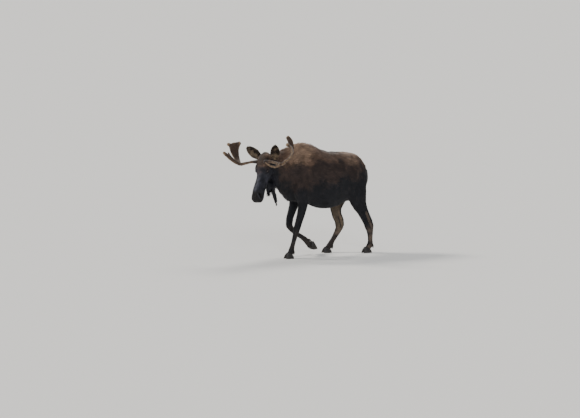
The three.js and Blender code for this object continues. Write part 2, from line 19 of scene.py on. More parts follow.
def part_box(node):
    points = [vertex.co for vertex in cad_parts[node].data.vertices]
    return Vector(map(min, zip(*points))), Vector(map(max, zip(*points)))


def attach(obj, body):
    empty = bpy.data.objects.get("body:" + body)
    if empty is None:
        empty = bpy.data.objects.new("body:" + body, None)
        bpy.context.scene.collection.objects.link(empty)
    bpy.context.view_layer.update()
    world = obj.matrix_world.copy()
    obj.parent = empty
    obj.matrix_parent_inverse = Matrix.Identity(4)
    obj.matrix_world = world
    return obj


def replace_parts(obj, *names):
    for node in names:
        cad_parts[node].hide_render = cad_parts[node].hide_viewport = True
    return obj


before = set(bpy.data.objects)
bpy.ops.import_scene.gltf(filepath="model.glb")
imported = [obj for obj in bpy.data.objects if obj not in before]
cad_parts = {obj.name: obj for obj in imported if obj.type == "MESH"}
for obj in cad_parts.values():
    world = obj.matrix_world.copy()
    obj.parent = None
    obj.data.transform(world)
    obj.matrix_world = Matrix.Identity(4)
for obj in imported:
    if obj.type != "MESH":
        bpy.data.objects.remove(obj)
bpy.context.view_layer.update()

log = logging.getLogger("moose")

Array = np.ndarray
Triple = tuple[float, float, float]
Rgba = tuple[float, float, float, float]

TINY = 1e-9
FAR = 9.0
SIDES = {"left": 1.0, "right": -1.0}


class Slot(Enum):
    """Names of the material slots."""

    BODY = "body_coat"
    LEG = "leg_coat"
    FACE = "face_coat"
    VELVET = "velvet"
    HORN = "hoof_horn"
    EYE = "eye"


# ------------------------------------------------------------------ places


def unit(vectors: Array) -> Array:
    """Vectors of length one, along the last axis."""
    length = np.linalg.norm(vectors, axis=-1, keepdims=True)
    return vectors / np.maximum(length, TINY)


def ramp(low: float, high: float, value: Array) -> Array:
    """A smooth step from 0 at `low` to 1 at `high`, which may lie either way round."""
    t = np.clip((value - low) / (high - low), 0.0, 1.0)
    return t * t * (3.0 - 2.0 * t)


def box_of(node: str) -> tuple[Array, Array]:
    """The low and high corners of a CAD node's box."""
    low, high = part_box(node)
    return np.array(low), np.array(high)


@dataclass(frozen=True)
class BodyFrame:
    """The animal's own terms: forward of the left hind foot, to its left, up.

    The head's own terms run down the face from the poll, out to its left, and towards
    the brow.
    """

    left: float = -0.0809
    back: float = 1.1413
    poll: Triple = (1.802, 0.050, 1.612)
    yaw: float = math.radians(24.0)
    roll: float = math.radians(-5.0)
    pitch: float = math.radians(-24.5)

    def place(self, rows: Array | tuple) -> Array:
        """Points given as forward, left, up."""
        rows = np.atleast_2d(np.asarray(rows, float))
        return np.stack([rows[:, 1] + self.left, self.back - rows[:, 0], rows[:, 2]], 1)

    def terms(self, points: Array) -> tuple[Array, Array, Array]:
        """How far forward, left and up points lie."""
        return self.back - points[:, 1], points[:, 0] - self.left, points[:, 2]

    def head_turn(self, pitched: bool = True) -> Array:
        """The turn of the head.

        Args:
            pitched: whether it takes in the nod, or stays level along the head's sides.

        Returns:
            A 3 by 3 matrix.
        """
        pitch = self.pitch if pitched else 0.0
        cx, sx = math.cos(pitch), math.sin(pitch)
        cy, sy = math.cos(self.roll), math.sin(self.roll)
        cz, sz = math.cos(self.yaw), math.sin(self.yaw)
        about_x = np.array([[1, 0, 0], [0, cx, -sx], [0, sx, cx]])
        about_y = np.array([[cy, 0, sy], [0, 1, 0], [-sy, 0, cy]])
        about_z = np.array([[cz, -sz, 0], [sz, cz, 0], [0, 0, 1]])
        return about_z @ about_y @ about_x

    def head_ways(self, rows: Array | tuple) -> Array:
        """Turns directions of the head into directions in space.

        Args:
            rows: directions as down the face, out to the left, towards the brow.

        Returns:
            The directions, one in each row.
        """
        rows = np.atleast_2d(np.asarray(rows, float))
        own = np.stack([rows[:, 1], -rows[:, 2], -rows[:, 0]], 1)
        return own @ self.head_turn().T

    def on_head(self, rows: Array | tuple) -> Array:
        """Points of the head given as down the face, out to the left, towards the brow."""
        return self.place(self.poll) + self.head_ways(rows)

    def head_terms(self, points: Array) -> tuple[Array, Array, Array]:
        """How far down the face, out to the left and towards the brow points lie."""
        own = (points - self.place(self.poll)) @ self.head_turn()
        return -own[:, 2], own[:, 0], -own[:, 1]


BODY = BodyFrame()

# Each leg's points as forward, left and up: its elbow or stifle, the joint below, the knee
# or hock, the fetlock and the coronet.
LEG_LINES = {
    "fore_left": [
        (1.240, 0.160, 1.090),
        (1.208, 0.164, 0.850),
        (1.318, 0.164, 0.440),
        (1.410, 0.164, 0.150),
        (1.440, 0.164, 0.070),
    ],
    "fore_right": [
        (1.228, -0.156, 1.090),
        (1.180, -0.146, 0.850),
        (1.290, -0.116, 0.478),
        (1.018, -0.110, 0.236),
        (0.918, -0.110, 0.124),
    ],
    "hind_left": [
        (0.242, 0.152, 0.900),
        (0.132, 0.158, 0.632),
        (0.022, 0.160, 0.390),
        (0.004, 0.160, 0.155),
        (0.046, 0.160, 0.070),
    ],
    "hind_right": [
        (0.392, -0.150, 0.900),
        (0.440, -0.153, 0.636),
        (0.374, -0.151, 0.404),
        (0.524, -0.150, 0.150),
        (0.584, -0.150, 0.070),
    ],
}
LIFTED_FOOT = "fore_right"


# ------------------------------------------------------------------ meshes


def read_triangles(mesh: bpy.types.Mesh) -> tuple[Array, Array]:
    """A Blender mesh's corners and triangles.

    Args:
        mesh: to read.

    Returns:
        The corners, a row for each, and three of their numbers for each triangle.
    """
    mesh.calc_loop_triangles()
    corners = np.empty(len(mesh.vertices) * 3, np.float32)
    mesh.vertices.foreach_get("co", corners)
    triangles = np.empty(len(mesh.loop_triangles) * 3, np.int32)
    mesh.loop_triangles.foreach_get("vertices", triangles)
    return corners.reshape(-1, 3), triangles.reshape(-1, 3)


@dataclass
class Surface:
    """A triangle mesh held as arrays."""

    points: Array
    faces: Array

    @classmethod
    def joined(cls, surfaces: list["Surface"]) -> "Surface":
        """Several surfaces side by side as one.

        Args:
            surfaces: in order.

        Returns:
            One surface with all their points and faces.
        """
        starts = np.cumsum([0] + [len(surface.points) for surface in surfaces])
        faces = [surface.faces + start for surface, start in zip(surfaces, starts)]
        return cls(np.concatenate([surface.points for surface in surfaces]), np.concatenate(faces))

    @classmethod
    def of_nodes(cls, names: list[str]) -> "Surface":
        """The meshes of CAD nodes, side by side, with shared corners merged.

        Args:
            names: of the nodes.

        Returns:
            One surface, without faces that the merging made into lines.
        """
        surfaces = []
        for name in names:
            corners, triangles = read_triangles(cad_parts[name].data)
            merged, where = np.unique(np.round(corners, 6), axis=0, return_inverse=True)
            faces = where.reshape(-1)[triangles]
            a, b, c = faces.T
            whole = (a != b) & (b != c) & (a != c)
            surfaces.append(cls(merged.astype(float), faces[whole]))
        return cls.joined(surfaces)

    @classmethod
    def of_mesh(cls, mesh: bpy.types.Mesh) -> "Surface":
        """A Blender mesh's triangles."""
        corners, triangles = read_triangles(mesh)
        return cls(corners.astype(float), triangles)

    def mesh(self, name: str) -> bpy.types.Mesh:
        """A smooth-shaded Blender mesh of this surface.

        Args:
            name: of the mesh.

        Returns:
            The mesh, in no scene yet.
        """
        count = len(self.faces)
        mesh = bpy.data.meshes.new(name)
        mesh.vertices.add(len(self.points))
        mesh.vertices.foreach_set("co", self.points.astype(np.float32).ravel())
        mesh.loops.add(count * 3)
        mesh.loops.foreach_set("vertex_index", self.faces.astype(np.int32).ravel())
        mesh.polygons.add(count)
        mesh.polygons.foreach_set("loop_start", np.arange(0, count * 3, 3, dtype=np.int32))
        mesh.polygons.foreach_set("use_smooth", np.ones(count, bool))
        mesh.update(calc_edges=True)
        return mesh

    def face_crosses(self) -> Array:
        """Each face's normal, twice its area long."""
        a, b, c = (self.points[self.faces[:, i]] for i in range(3))
        return np.cross(b - a, c - a)

    def normals(self) -> Array:
        """The points' smooth normals.

        Returns:
            A vector of length one for each point.
        """
        crosses, owners = self.face_crosses(), self.faces.ravel()
        columns = [
            np.bincount(owners, np.repeat(crosses[:, i], 3), len(self.points)) for i in range(3)
        ]
        return unit(np.stack(columns, 1))

    def edges(self) -> Array:
        """Both directions of every edge, each once for every face that has it."""
        pairs = np.concatenate([self.faces[:, ends] for ends in ([0, 1], [1, 2], [2, 0])])
        return np.concatenate([pairs, pairs[:, ::-1]])

    def averaged(self, values: Array, rounds: int, share: float = 1.0) -> Array:
        """Values at the points, each drawn towards the mean of its neighbours.

        Args:
            values: one value or one row of values for each point.
            rounds: how many times this is done.
            share: how far each goes towards the mean.

        Returns:
            The values, evened out.
        """
        pairs = self.edges()
        count = np.maximum(np.bincount(pairs[:, 0], minlength=len(self.points)), 1)
        columns = values.reshape(len(values), -1).astype(float)
        for _ in range(rounds):
            for i in range(columns.shape[1]):
                total = np.bincount(pairs[:, 0], columns[pairs[:, 1], i], len(self.points))
                columns[:, i] += share * (total / count - columns[:, i])
        return columns.reshape(values.shape)

    def smooth(self, rounds: int) -> None:
        """Takes out facets and steps without shrinking.

        Args:
            rounds: how many times the points are drawn in and let out again.
        """
        for _ in range(rounds):
            for share in (0.62, -0.64):
                self.points = self.averaged(self.points, 1, share)


@dataclass(frozen=True)
class Lens:
    """A swelling of space round a point, so that even voxels come out finer there."""

    centre: Triple
    reach: float
    power: float

    def _grown(self, r: Array) -> Array:
        """The grown distance for a distance from the centre.

        Args:
            r: distances before the swelling.

        Returns:
            Distances after it.
        """
        extra = (self.power - 1.0) * self.reach
        t = np.clip(r / self.reach, 0.0, None)
        inside = self.power * r - extra * 0.5 * t**2
        outside = r + extra * 0.5
        return np.where(t < 1.0, inside, outside)

    def swell(self, points: Array) -> Array:
        """Moves points out from the centre.

        Args:
            points: where they are.

        Returns:
            Where they come to lie.
        """
        away = points - np.asarray(self.centre)
        r = np.linalg.norm(away, axis=1, keepdims=True)
        return np.asarray(self.centre) + away * self._grown(r) / np.maximum(r, TINY)

    def settle(self, points: Array) -> Array:
        """Moves points back to where they were before the swelling.

        Args:
            points: where they came to lie.

        Returns:
            Where they were.
        """
        away = points - np.asarray(self.centre)
        grown = np.linalg.norm(away, axis=1)
        table = np.linspace(0.0, self.reach + 6.0, 60000)
        r = np.interp(grown, self._grown(table), table)
        return np.asarray(self.centre) + away * (r / np.maximum(grown, TINY))[:, None]


def show(thing: bpy.types.Object) -> bpy.types.Object:
    """Puts an object in the scene."""
    bpy.context.scene.collection.objects.link(thing)
    return thing


def regrown(surface: Surface, grow: float, voxel: float, lenses: list[Lens] = ()) -> Surface:
    """One closed skin round solids that touch or nearly touch.

    Args:
        surface: the solids' faces.
        grow: how far they are thickened first, so that they run together.
        voxel: the size of the new mesh's steps, before the lenses.
        lenses: swellings of space, in the order they are applied.

    Returns:
        The new skin, at the thickened size.
    """
    points = surface.points + surface.normals() * grow
    for lens in lenses:
        points = lens.swell(points)
    mesh = Surface(points, surface.faces).mesh("regrown")
    thing = show(bpy.data.objects.new("regrown", mesh))
    remesh = thing.modifiers.new("voxels", "REMESH")
    remesh.mode = "VOXEL"
    remesh.voxel_size = voxel
    remesh.adaptivity = 0.0
    evaluated = thing.evaluated_get(bpy.context.evaluated_depsgraph_get())
    result = Surface.of_mesh(bpy.data.meshes.new_from_object(evaluated))
    bpy.data.objects.remove(thing)
    bpy.data.meshes.remove(mesh)
    for lens in reversed(lenses):
        result.points = lens.settle(result.points)
    return result


def set_values(mesh: bpy.types.Mesh, values: dict[str, Array]) -> None:
    """Stores numbers at each of a mesh's points.

    Args:
        mesh: that takes them.
        values: a number for each point, under each name.
    """
    for name, column in values.items():
        layer = mesh.attributes.new(name, "FLOAT", "POINT")
        layer.data.foreach_set("value", np.asarray(column, np.float32))


def add_piece(mesh: bpy.types.Mesh, material: bpy.types.Material, slot: Slot) -> bpy.types.Object:
    """Shows a mesh as a piece of the animal that rides on its one body.

    Args:
        mesh: of the piece, which gives its name.
        material: that covers it.
        slot: not used.

    Returns:
        The piece.
    """
    mesh.materials.append(material)
    piece = show(bpy.data.objects.new(mesh.name, mesh))
    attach(piece, "root")
    return piece


# ------------------------------------------------------------------ regions of the coat


@dataclass(frozen=True)
class CoatRegion:
    """How the coat grows on one part of the animal.

    Args:
        nodes: how the names of the CAD nodes whose flesh it covers start.
        depth: how far the skin lies inside the tips of the coat.
        length: of a lock.
        width: of a lock at its thickest.
        lift: how steeply a lock leaves the skin, as a slope.
        density: locks for each square metre.
        relax: how far the skin is evened out, from 0 to 1.
    """

    nodes: tuple[str, ...]
    depth: float
    length: float
    width: float
    lift: float
    density: float
    relax: float


def leg_nodes(fore: str, hind: str) -> tuple[str, ...]:
    """The nodes of one length of all four legs."""
    parts = {"fore": fore, "hind": hind}
    return tuple(f"leg_{end}_{side}_{part}" for end, part in parts.items() for side in SIDES)


REGIONS = {
    "trunk": CoatRegion(("trunk",), 0.0090, 0.046, 0.0060, 0.22, 16500, 1.0),
    "neck": CoatRegion(("neck",), 0.0105, 0.060, 0.0062, 0.25, 19000, 1.0),
    "head": CoatRegion(("head",), 0.0030, 0.0125, 0.0026, 0.20, 42000, 0.34),
    "ear": CoatRegion(("ear",), 0.0012, 0.0110, 0.0022, 0.18, 42000, 0.0),
    "bell": CoatRegion(("bell",), 0.0050, 0.075, 0.0050, 0.14, 42000, 0.15),
    "tail": CoatRegion(("tail",), 0.0065, 0.048, 0.0046, 0.16, 34000, 0.2),
    "upper_leg": CoatRegion(
        leg_nodes("upper_arm", "thigh"), 0.0070, 0.036, 0.0054, 0.20, 18000, 0.8
    ),
    "mid_leg": CoatRegion(
        leg_nodes("forearm", "shank"), 0.0035, 0.022, 0.0042, 0.18, 25000, 0.12
    ),
    "cannon": CoatRegion(
        leg_nodes("cannon", "cannon"), 0.0022, 0.017, 0.0034, 0.16, 32000, 0.04
    ),
}
REGION_NAMES = list(REGIONS)


@dataclass(frozen=True)
class Stroke:
    """A ridge or a hollow drawn along a line on the skin.

    Args:
        line: points in the body's terms, or in the head's if `on_head`, for the left side.
        reach: how far it spreads to each side.
        rise: how high it stands, negative for a hollow.
        on_head: whether the line is in the head's terms.
        mirrored: whether the right side has one too.
    """

    line: tuple[Triple, ...]
    reach: float
    rise: float
    on_head: bool = False
    mirrored: bool = True

    def lines(self) -> list[Array]:
        """The line, and its mirror image if it has one.

        Returns:
            Points in space for each of them.
        """
        rows = np.asarray(self.line, float)
        sides = [1.0, -1.0] if self.mirrored else [1.0]
        place = BODY.on_head if self.on_head else BODY.place
        return [place(rows * np.array([1.0, side, 1.0])) for side in sides]


def away_from_line(points: Array, line: Array) -> tuple[Array, Array]:
    """Distances to a line through points, and how far along it the nearest place is.

    Args:
        points: where the distances are taken from.
        line: the line's points, in order.

    Returns:
        The distances, and shares of the line from 0 to 1.
    """
    best = np.full(len(points), np.inf)
    share = np.zeros(len(points))
    spans = max(len(line) - 1, 1)
    for i in range(spans):
        a, b = line[i], line[min(i + 1, len(line) - 1)]
        run = b - a
        t = np.clip((points - a) @ run / max(run @ run, 1e-12), 0.0, 1.0)
        d = np.linalg.norm(points - a - t[:, None] * run, axis=1)
        closer = d < best
        best[closer] = d[closer]
        share[closer] = (i + t[closer]) / spans
    return best, share


def one_sided(places: list[Array | Triple], reach: float, rise: float) -> Stroke:
    """A stroke without a mirror image, through places in the body's terms."""
    return Stroke(tuple(map(tuple, places)), reach, rise, mirrored=False)


def leg_strokes() -> list[Stroke]:
    """Draws knees, tendons and the hollows beside them, along each leg's own line.

    Returns:
        The strokes of all four legs.
    """
    strokes = []
    for name, line in LEG_LINES.items():
        joints = np.array(line)
        side = np.sign(joints[0, 1])
        knee, fetlock = joints[2], joints[3]
        bone = fetlock - knee
        back = np.array([-bone[2], 0.0, bone[0]]) / np.hypot(bone[0], bone[2])
        if back[0] > 0:
            back = -back
        is_hind = name.startswith("hind")
        for out in (1.0, -1.0):
            off = np.array([0.0, 0.026 * out, 0.0])
            groove = [knee + bone * t + off + back * 0.006 for t in (0.18, 0.5, 0.82)]
            strokes.append(one_sided(groove, 0.010, -0.0045))
            if is_hind:
                shank = joints[1] - knee
                hollow = [knee + shank * t + off * 1.6 + back * 0.040 for t in (0.16, 0.4, 0.72)]
                strokes.append(one_sided(hollow, 0.024, -0.019))
        tendon = [knee + bone * t + back * 0.034 for t in (0.10, 0.5, 0.85)]
        strokes.append(one_sided(tendon, 0.011, 0.003))
        strokes.append(one_sided([knee - back * 0.040], 0.030, 0.002 if is_hind else 0.004))
        strokes.append(one_sided([knee + np.array([0.0, 0.040 * side, 0.0])], 0.024, 0.004))
    return strokes


def rib(number: int) -> Stroke:
    """One rib under the coat.

    Args:
        number: counted from the shoulder back.

    Returns:
        Its stroke.
    """
    starts_and_steps = ((0.99, 0.075), (0.955, 0.080), (0.945, 0.075))
    top, middle, low = (start - step * number for start, step in starts_and_steps)
    return Stroke(((top, 0.270, 1.42), (middle, 0.295, 1.20), (low, 0.285, 0.98)), 0.017, 0.0022)


BODY_STROKES = [
    # the shoulder blade, the trough behind it and the one before it
    Stroke(((1.215, 0.150, 1.640), (1.290, 0.215, 1.400), (1.335, 0.225, 1.190)), 0.050, 0.009),
    Stroke(((1.060, 0.215, 1.560), (1.085, 0.255, 1.300), (1.105, 0.265, 1.100)), 0.055, -0.011),
    Stroke(((1.375, 0.150, 1.590), (1.420, 0.170, 1.380), (1.440, 0.170, 1.210)), 0.045, -0.009),
    # the muscle behind the arm, the point of the elbow and the crease behind it
    Stroke(((1.190, 0.245, 1.240), (1.165, 0.250, 1.080)), 0.060, 0.010),
    Stroke(((1.118, 0.235, 0.985),), 0.045, 0.010),
    Stroke(((1.035, 0.250, 1.120), (1.045, 0.235, 0.930)), 0.030, -0.010),
    *[rib(number) for number in range(6)],
    # flank hollow, flank fold, hip and pin bones
    Stroke(((0.470, 0.230, 1.330), (0.480, 0.255, 1.180)), 0.085, -0.015),
    Stroke(((0.560, 0.265, 0.960), (0.470, 0.250, 0.900), (0.400, 0.225, 0.880)), 0.026, 0.009),
    Stroke(((0.430, 0.165, 1.480),), 0.050, 0.012),
    Stroke(((0.095, 0.100, 1.350),), 0.045, 0.010),
    # the seams between the thigh's muscles
    Stroke(((0.190, 0.200, 1.330), (0.175, 0.225, 1.150), (0.200, 0.215, 0.960)), 0.026, -0.007),
    Stroke(((0.330, 0.225, 1.260), (0.320, 0.245, 1.100)), 0.070, 0.008),
    # the furrow down the side of the neck, breast muscles and the groove between them
    Stroke(((1.600, 0.140, 1.330), (1.500, 0.150, 1.210), (1.410, 0.160, 1.100)), 0.032, -0.008),
    Stroke(((1.455, 0.075, 1.060), (1.400, 0.085, 0.960)), 0.045, 0.008),
    one_sided([(1.500, 0.000, 1.020), (1.430, 0.000, 0.930)], 0.022, -0.008),
    # the line of the back
    one_sided([(0.980, 0.000, 1.690), (0.700, 0.000, 1.600), (0.350, 0.000, 1.560)], 0.022, 0.004),
    # folds where the neck turns, on its inner side
    one_sided([(1.640, 0.135, 1.520), (1.600, 0.150, 1.380), (1.590, 0.140, 1.260)], 0.016, -0.006),
    one_sided([(1.570, 0.135, 1.560), (1.540, 0.150, 1.420), (1.530, 0.145, 1.300)], 0.016, -0.005),
]

NOSTRIL = ((0.650, 0.070, 0.066), (0.676, 0.082, 0.046), (0.700, 0.089, 0.026))
NOSTRIL_RIM = ((0.660, 0.052, 0.080), (0.692, 0.066, 0.060), (0.728, 0.080, 0.026))
LIP_RIM = (
    (0.610, 0.074, -0.050),
    (0.665, 0.082, -0.040),
    (0.715, 0.082, -0.024),
    (0.745, 0.062, -0.012),
)
MOUTH_LINE = (
    (0.560, 0.056, -0.094),
    (0.640, 0.066, -0.092),
    (0.705, 0.068, -0.078),
    (0.738, 0.045, -0.066),
)
HEAD_STROKES = [
    # the brow, the bony ridge under the eye, the cheek, then the hollows round the eye
    Stroke(((0.205, 0.088, 0.082), (0.245, 0.104, 0.066), (0.285, 0.100, 0.052)), 0.017, 0.008, True),
    Stroke(((0.285, 0.108, -0.012), (0.345, 0.086, -0.012), (0.420, 0.074, -0.006)), 0.015, 0.006, True),
    Stroke(((0.300, 0.090, -0.100), (0.345, 0.082, -0.100)), 0.050, 0.010, True),
    Stroke(((0.322, 0.082, 0.036), (0.350, 0.072, 0.032)), 0.020, -0.004, True),
    Stroke(((0.420, 0.072, -0.040), (0.520, 0.060, -0.050)), 0.030, -0.007, True),
    Stroke(((0.240, 0.104, -0.075), (0.200, 0.106, -0.100)), 0.022, -0.006, True),
    # the middle of the forehead, the temples and the edges of the nose's bridge
    Stroke(((0.150, 0.000, 0.112), (0.230, 0.000, 0.104)), 0.040, 0.006, True, False),
    Stroke(((0.240, 0.060, 0.098), (0.300, 0.056, 0.090)), 0.022, -0.005, True),
    Stroke(((0.430, 0.030, 0.088), (0.540, 0.030, 0.098), (0.620, 0.030, 0.100)), 0.018, 0.0035, True),
    # nostrils: the wing behind, the rim before, the lip's rim below, then the opening
    Stroke(((0.636, 0.080, 0.058), (0.660, 0.094, 0.036), (0.690, 0.098, 0.012)), 0.013, 0.006, True),
    Stroke(NOSTRIL_RIM, 0.012, 0.008, True),
    Stroke(LIP_RIM, 0.013, 0.005, True),
    Stroke((NOSTRIL[0],), 0.0150, -0.022, True),
    Stroke(NOSTRIL, 0.0100, -0.020, True),
    # the groove between the nostrils, the overhanging lip, the mouth line and the chin
    Stroke(((0.670, 0.000, 0.086), (0.755, 0.000, 0.040)), 0.010, -0.004, True, False),
    Stroke(((0.700, 0.078, -0.045), (0.735, 0.070, -0.030), (0.755, 0.045, -0.020)), 0.022, 0.006, True),
    Stroke(MOUTH_LINE, 0.0075, -0.011, True),
    Stroke(((0.560, 0.060, -0.070), (0.620, 0.070, -0.066)), 0.018, 0.004, True),
    Stroke(((0.660, 0.000, -0.128),), 0.030, 0.006, True, False),
]


BEHIND_THE_EYE = 99.0


@dataclass(frozen=True)
class EyeSocket:
    """One eye's place in the head: the ball, and the almond between the lids."""

    side: float
    centre: Array
    radius: float = 0.020
    half_length: float = 0.0175
    half_height: float = 0.0112

    @classmethod
    def of(cls, name: str, side: float) -> "EyeSocket":
        """The socket round a CAD eye."""
        return cls(side, sum(box_of(name)) / 2)

    def axes(self) -> tuple[Array, Array, Array]:
        """The eye's own directions.

        Returns:
            Out of the eye, along the slit towards the nose, and up across it.
        """
        out = unit(BODY.head_ways((-0.04, self.side, 0.20)))[0]
        along = BODY.head_ways((0.93, 0.0, 0.36))[0]
        along = unit(along - (along @ out) * out)
        return out, along, unit(np.cross(out, along)) * -self.side

    def almond(self, points: Array) -> tuple[Array, Array, Array, Array]:
        """Places over the slit.

        Args:
            points: where to look.

        Returns:
            How far past the lids' edge (1 on it), along, across and out of the eye.
        """
        out, along, up = self.axes()
        away = points - self.centre
        s, t, n = away @ along, away @ up, away @ out
        narrowing = 1.0 - 0.30 * np.clip(s / self.half_length, -1.2, 1.2) ** 2
        height = self.half_height * narrowing * np.where(t > 0, 1.0, 0.86)
        edge = np.sqrt((s / self.half_length) ** 2 + (t / height) ** 2)
        return np.where(n > 0, edge, BEHIND_THE_EYE), s, t, n


SOCKETS = [EyeSocket.of("eye_" + side, sign) for side, sign in SIDES.items()]


# ------------------------------------------------------------------ the skin


def cloud(points: Array, size: float, seed: int) -> Array:
    """Smooth noise.

    Args:
        points: where it is taken.
        size: how many metres it takes to change.
        seed: which of many such noises.

    Returns:
        A number from -1 to 1 for each point.
    """
    cells = points / size
    low = np.floor(cells).astype(np.int64)
    part = cells - low
    part = part * part * (3.0 - 2.0 * part)
    total = np.zeros(len(points))
    for corner in range(8):
        step = np.array([corner & 1, corner >> 1 & 1, corner >> 2 & 1])
        x, y, z = (low + step).T
        mixed = (x * 73856093) ^ (y * 19349663) ^ (z * 83492791) ^ (seed * 2654435761)
        mixed = (mixed ^ (mixed >> 13)) * 1274126177
        value = ((mixed ^ (mixed >> 16)) & 0xFFFF) / 32767.5 - 1.0
        total += value * np.prod(np.where(step, part, 1.0 - part), axis=1)
    return total


def swirl(points: Array, size: float, seed: int) -> Array:
    """A smooth random direction at each point."""
    return np.stack([cloud(points, size, seed + i) for i in range(3)], 1)


def body_ways(forward: Array | float, up: Array | float) -> Array:
    """Directions in space from how far they lean forward and up.

    Args:
        forward: one number, or one for each point.
        up: the same.

    Returns:
        The directions, one in each row.
    """
    forward, up = np.broadcast_arrays(forward, up)
    return np.stack([np.zeros(forward.shape), -forward, up], -1)


@dataclass
class Skin:
    """The one skin over all the flesh, with the measures that the coat follows."""

    grow: float = 0.004
    voxel: float = 0.0116
    surface: Surface = field(init=False)
    normals: Array = field(init=False)
    shares: dict[str, Array] = field(init=False)
    flow: Array = field(init=False)
    marks: dict[str, Array] = field(init=False)

    def flesh_nodes(self) -> list[tuple[str, str]]:
        """Finds every CAD node that the skin covers.

        Returns:
            The nodes' names, each with its region.
        """
        return [
            (node, region)
            for node in sorted(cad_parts)
            for region, coat in REGIONS.items()
            if node.startswith(coat.nodes)
        ]

    def lenses(self) -> list[Lens]:
        """Makes the skin finer on the head, and finer still at the ears, eyes and nostrils.

        Returns:
            The swellings, in the order they are applied.
        """
        lenses = [Lens(tuple(BODY.on_head((0.36, 0.0, 0.0))[0]), 0.62, 2.3)]
        spots = [(socket.centre, 0.11, 2.3) for socket in SOCKETS]
        spots += [(BODY.on_head((0.690, 0.072 * sign, 0.050))[0], 0.13, 1.8) for sign in SIDES.values()]
        spots += [(sum(box_of("ear_" + side)) / 2, 0.30, 1.6) for side in SIDES]
        for centre, reach, power in spots:
            moved = centre[None]
            for lens in lenses:
                moved = lens.swell(moved)
            lenses.append(Lens(tuple(moved[0]), reach, power))
        return lenses

    def build(self) -> None:
        """Grows, evens out, sinks and sculpts the skin."""
        found = self.flesh_nodes()
        raw = Surface.of_nodes([node for node, _ in found])
        self.surface = regrown(raw, self.grow, self.voxel, self.lenses())
        self._share_out(found)
        self._even_out()
        self.surface.smooth(5)
        self._sink()
        self._sculpt()
        self._open_eyes()
        self.normals = self.surface.normals()
        self._comb()
        self.marks = Markings(self).all()
        log.info("skin: %d points, %d triangles", len(self.surface.points), len(self.surface.faces))

    def _share_out(self, found: list[tuple[str, str]]) -> None:
        """Gives each point its share of each region, running softly into the next.

        Args:
            found: the nodes under the skin, each with its region.
        """
        pieces = [Surface.of_nodes([node]) for node, _ in found]
        owner = np.repeat(
            [REGION_NAMES.index(region) for _, region in found],
            [len(piece.faces) for piece in pieces],
        )
        flesh = Surface.joined(pieces)
        tree = BVHTree.FromPolygons(flesh.points.tolist(), flesh.faces.tolist())
        nearest = [tree.find_nearest(Vector(point))[2] for point in self.surface.points]
        hard = np.eye(len(REGION_NAMES))[owner[nearest]]
        soft = self.surface.averaged(hard, 9)
        wide = self.surface.averaged(soft, 22)
        fine = hard[:, [REGION_NAMES.index("ear")]] + hard[:, [REGION_NAMES.index("bell")]]
        fine = np.clip(self.surface.averaged(fine, 3), 0.0, 1.0)
        mixed = wide * (1.0 - fine) + soft * fine
        mixed /= mixed.sum(1, keepdims=True)
        self.shares = {name: mixed[:, i] for i, name in enumerate(REGION_NAMES)}

    def blend(self, measure: str) -> Array:
        """A measure of the coat at each point, mixed from the regions it is in."""
        return sum(self.shares[name] * getattr(REGIONS[name], measure) for name in REGION_NAMES)

    def _even_out(self) -> None:
        """Takes the edges off the flesh, then gives back the fullness that this cost."""
        surface, start = self.surface, self.surface.points.copy()
        above_the_slight_shins = ramp(0.30, 0.62, BODY.terms(start)[2])
        relax = (self.blend("relax") * above_the_slight_shins)[:, None]
        for _ in range(34):
            surface.points += relax * (surface.averaged(surface.points, 1) - surface.points)
        normals = surface.normals()
        lost = np.sum((start - surface.points) * normals, 1)
        surface.points += normals * surface.averaged(lost, 26)[:, None]

    def depth(self) -> Array:
        """How deep the coat lies: deepest on the hump, thin at the hooves.

        Returns:
            Metres at each point.
        """
        points = self.surface.points
        forward, _, up = BODY.terms(points)
        hump = ramp(1.52, 1.68, up) * ramp(0.92, 1.10, forward) * ramp(1.72, 1.55, forward)
        deep = self.blend("depth") + 0.007 * hump
        hoof = ramp(0.150, 0.075, up) * (1.0 - self.shares["trunk"])
        lifted = BODY.place(LEG_LINES[LIFTED_FOOT][-1])[0]
        hoof = np.maximum(hoof, ramp(0.090, 0.050, np.linalg.norm(points - lifted, axis=1)))
        lumps = 0.18 * cloud(points, 0.11, 3) + 0.14 * cloud(points, 0.045, 5)
        return deep * (1.0 + lumps) * (1.0 - 0.8 * hoof)

    def _sink(self) -> None:
        """Draws the skin in from the tips of the coat to the roots."""
        normals = unit(self.surface.averaged(self.surface.normals(), 2))
        self.surface.points -= normals * (self.grow + self.depth())[:, None]

    def _sculpt(self) -> None:
        """Draws every ridge and hollow."""
        normals = self.surface.normals()
        points = self.surface.points
        for stroke in BODY_STROKES + leg_strokes() + HEAD_STROKES:
            for line in stroke.lines():
                middle = (line.min(0) + line.max(0)) / 2
                wide = np.linalg.norm(line.max(0) - line.min(0)) / 2 + 3.0 * stroke.reach
                close = np.flatnonzero(np.linalg.norm(points - middle, axis=1) < wide)
                gap, _ = away_from_line(points[close], line)
                swell = stroke.rise * np.exp(-((gap / stroke.reach) ** 2))
                points[close] += normals[close] * swell[:, None]

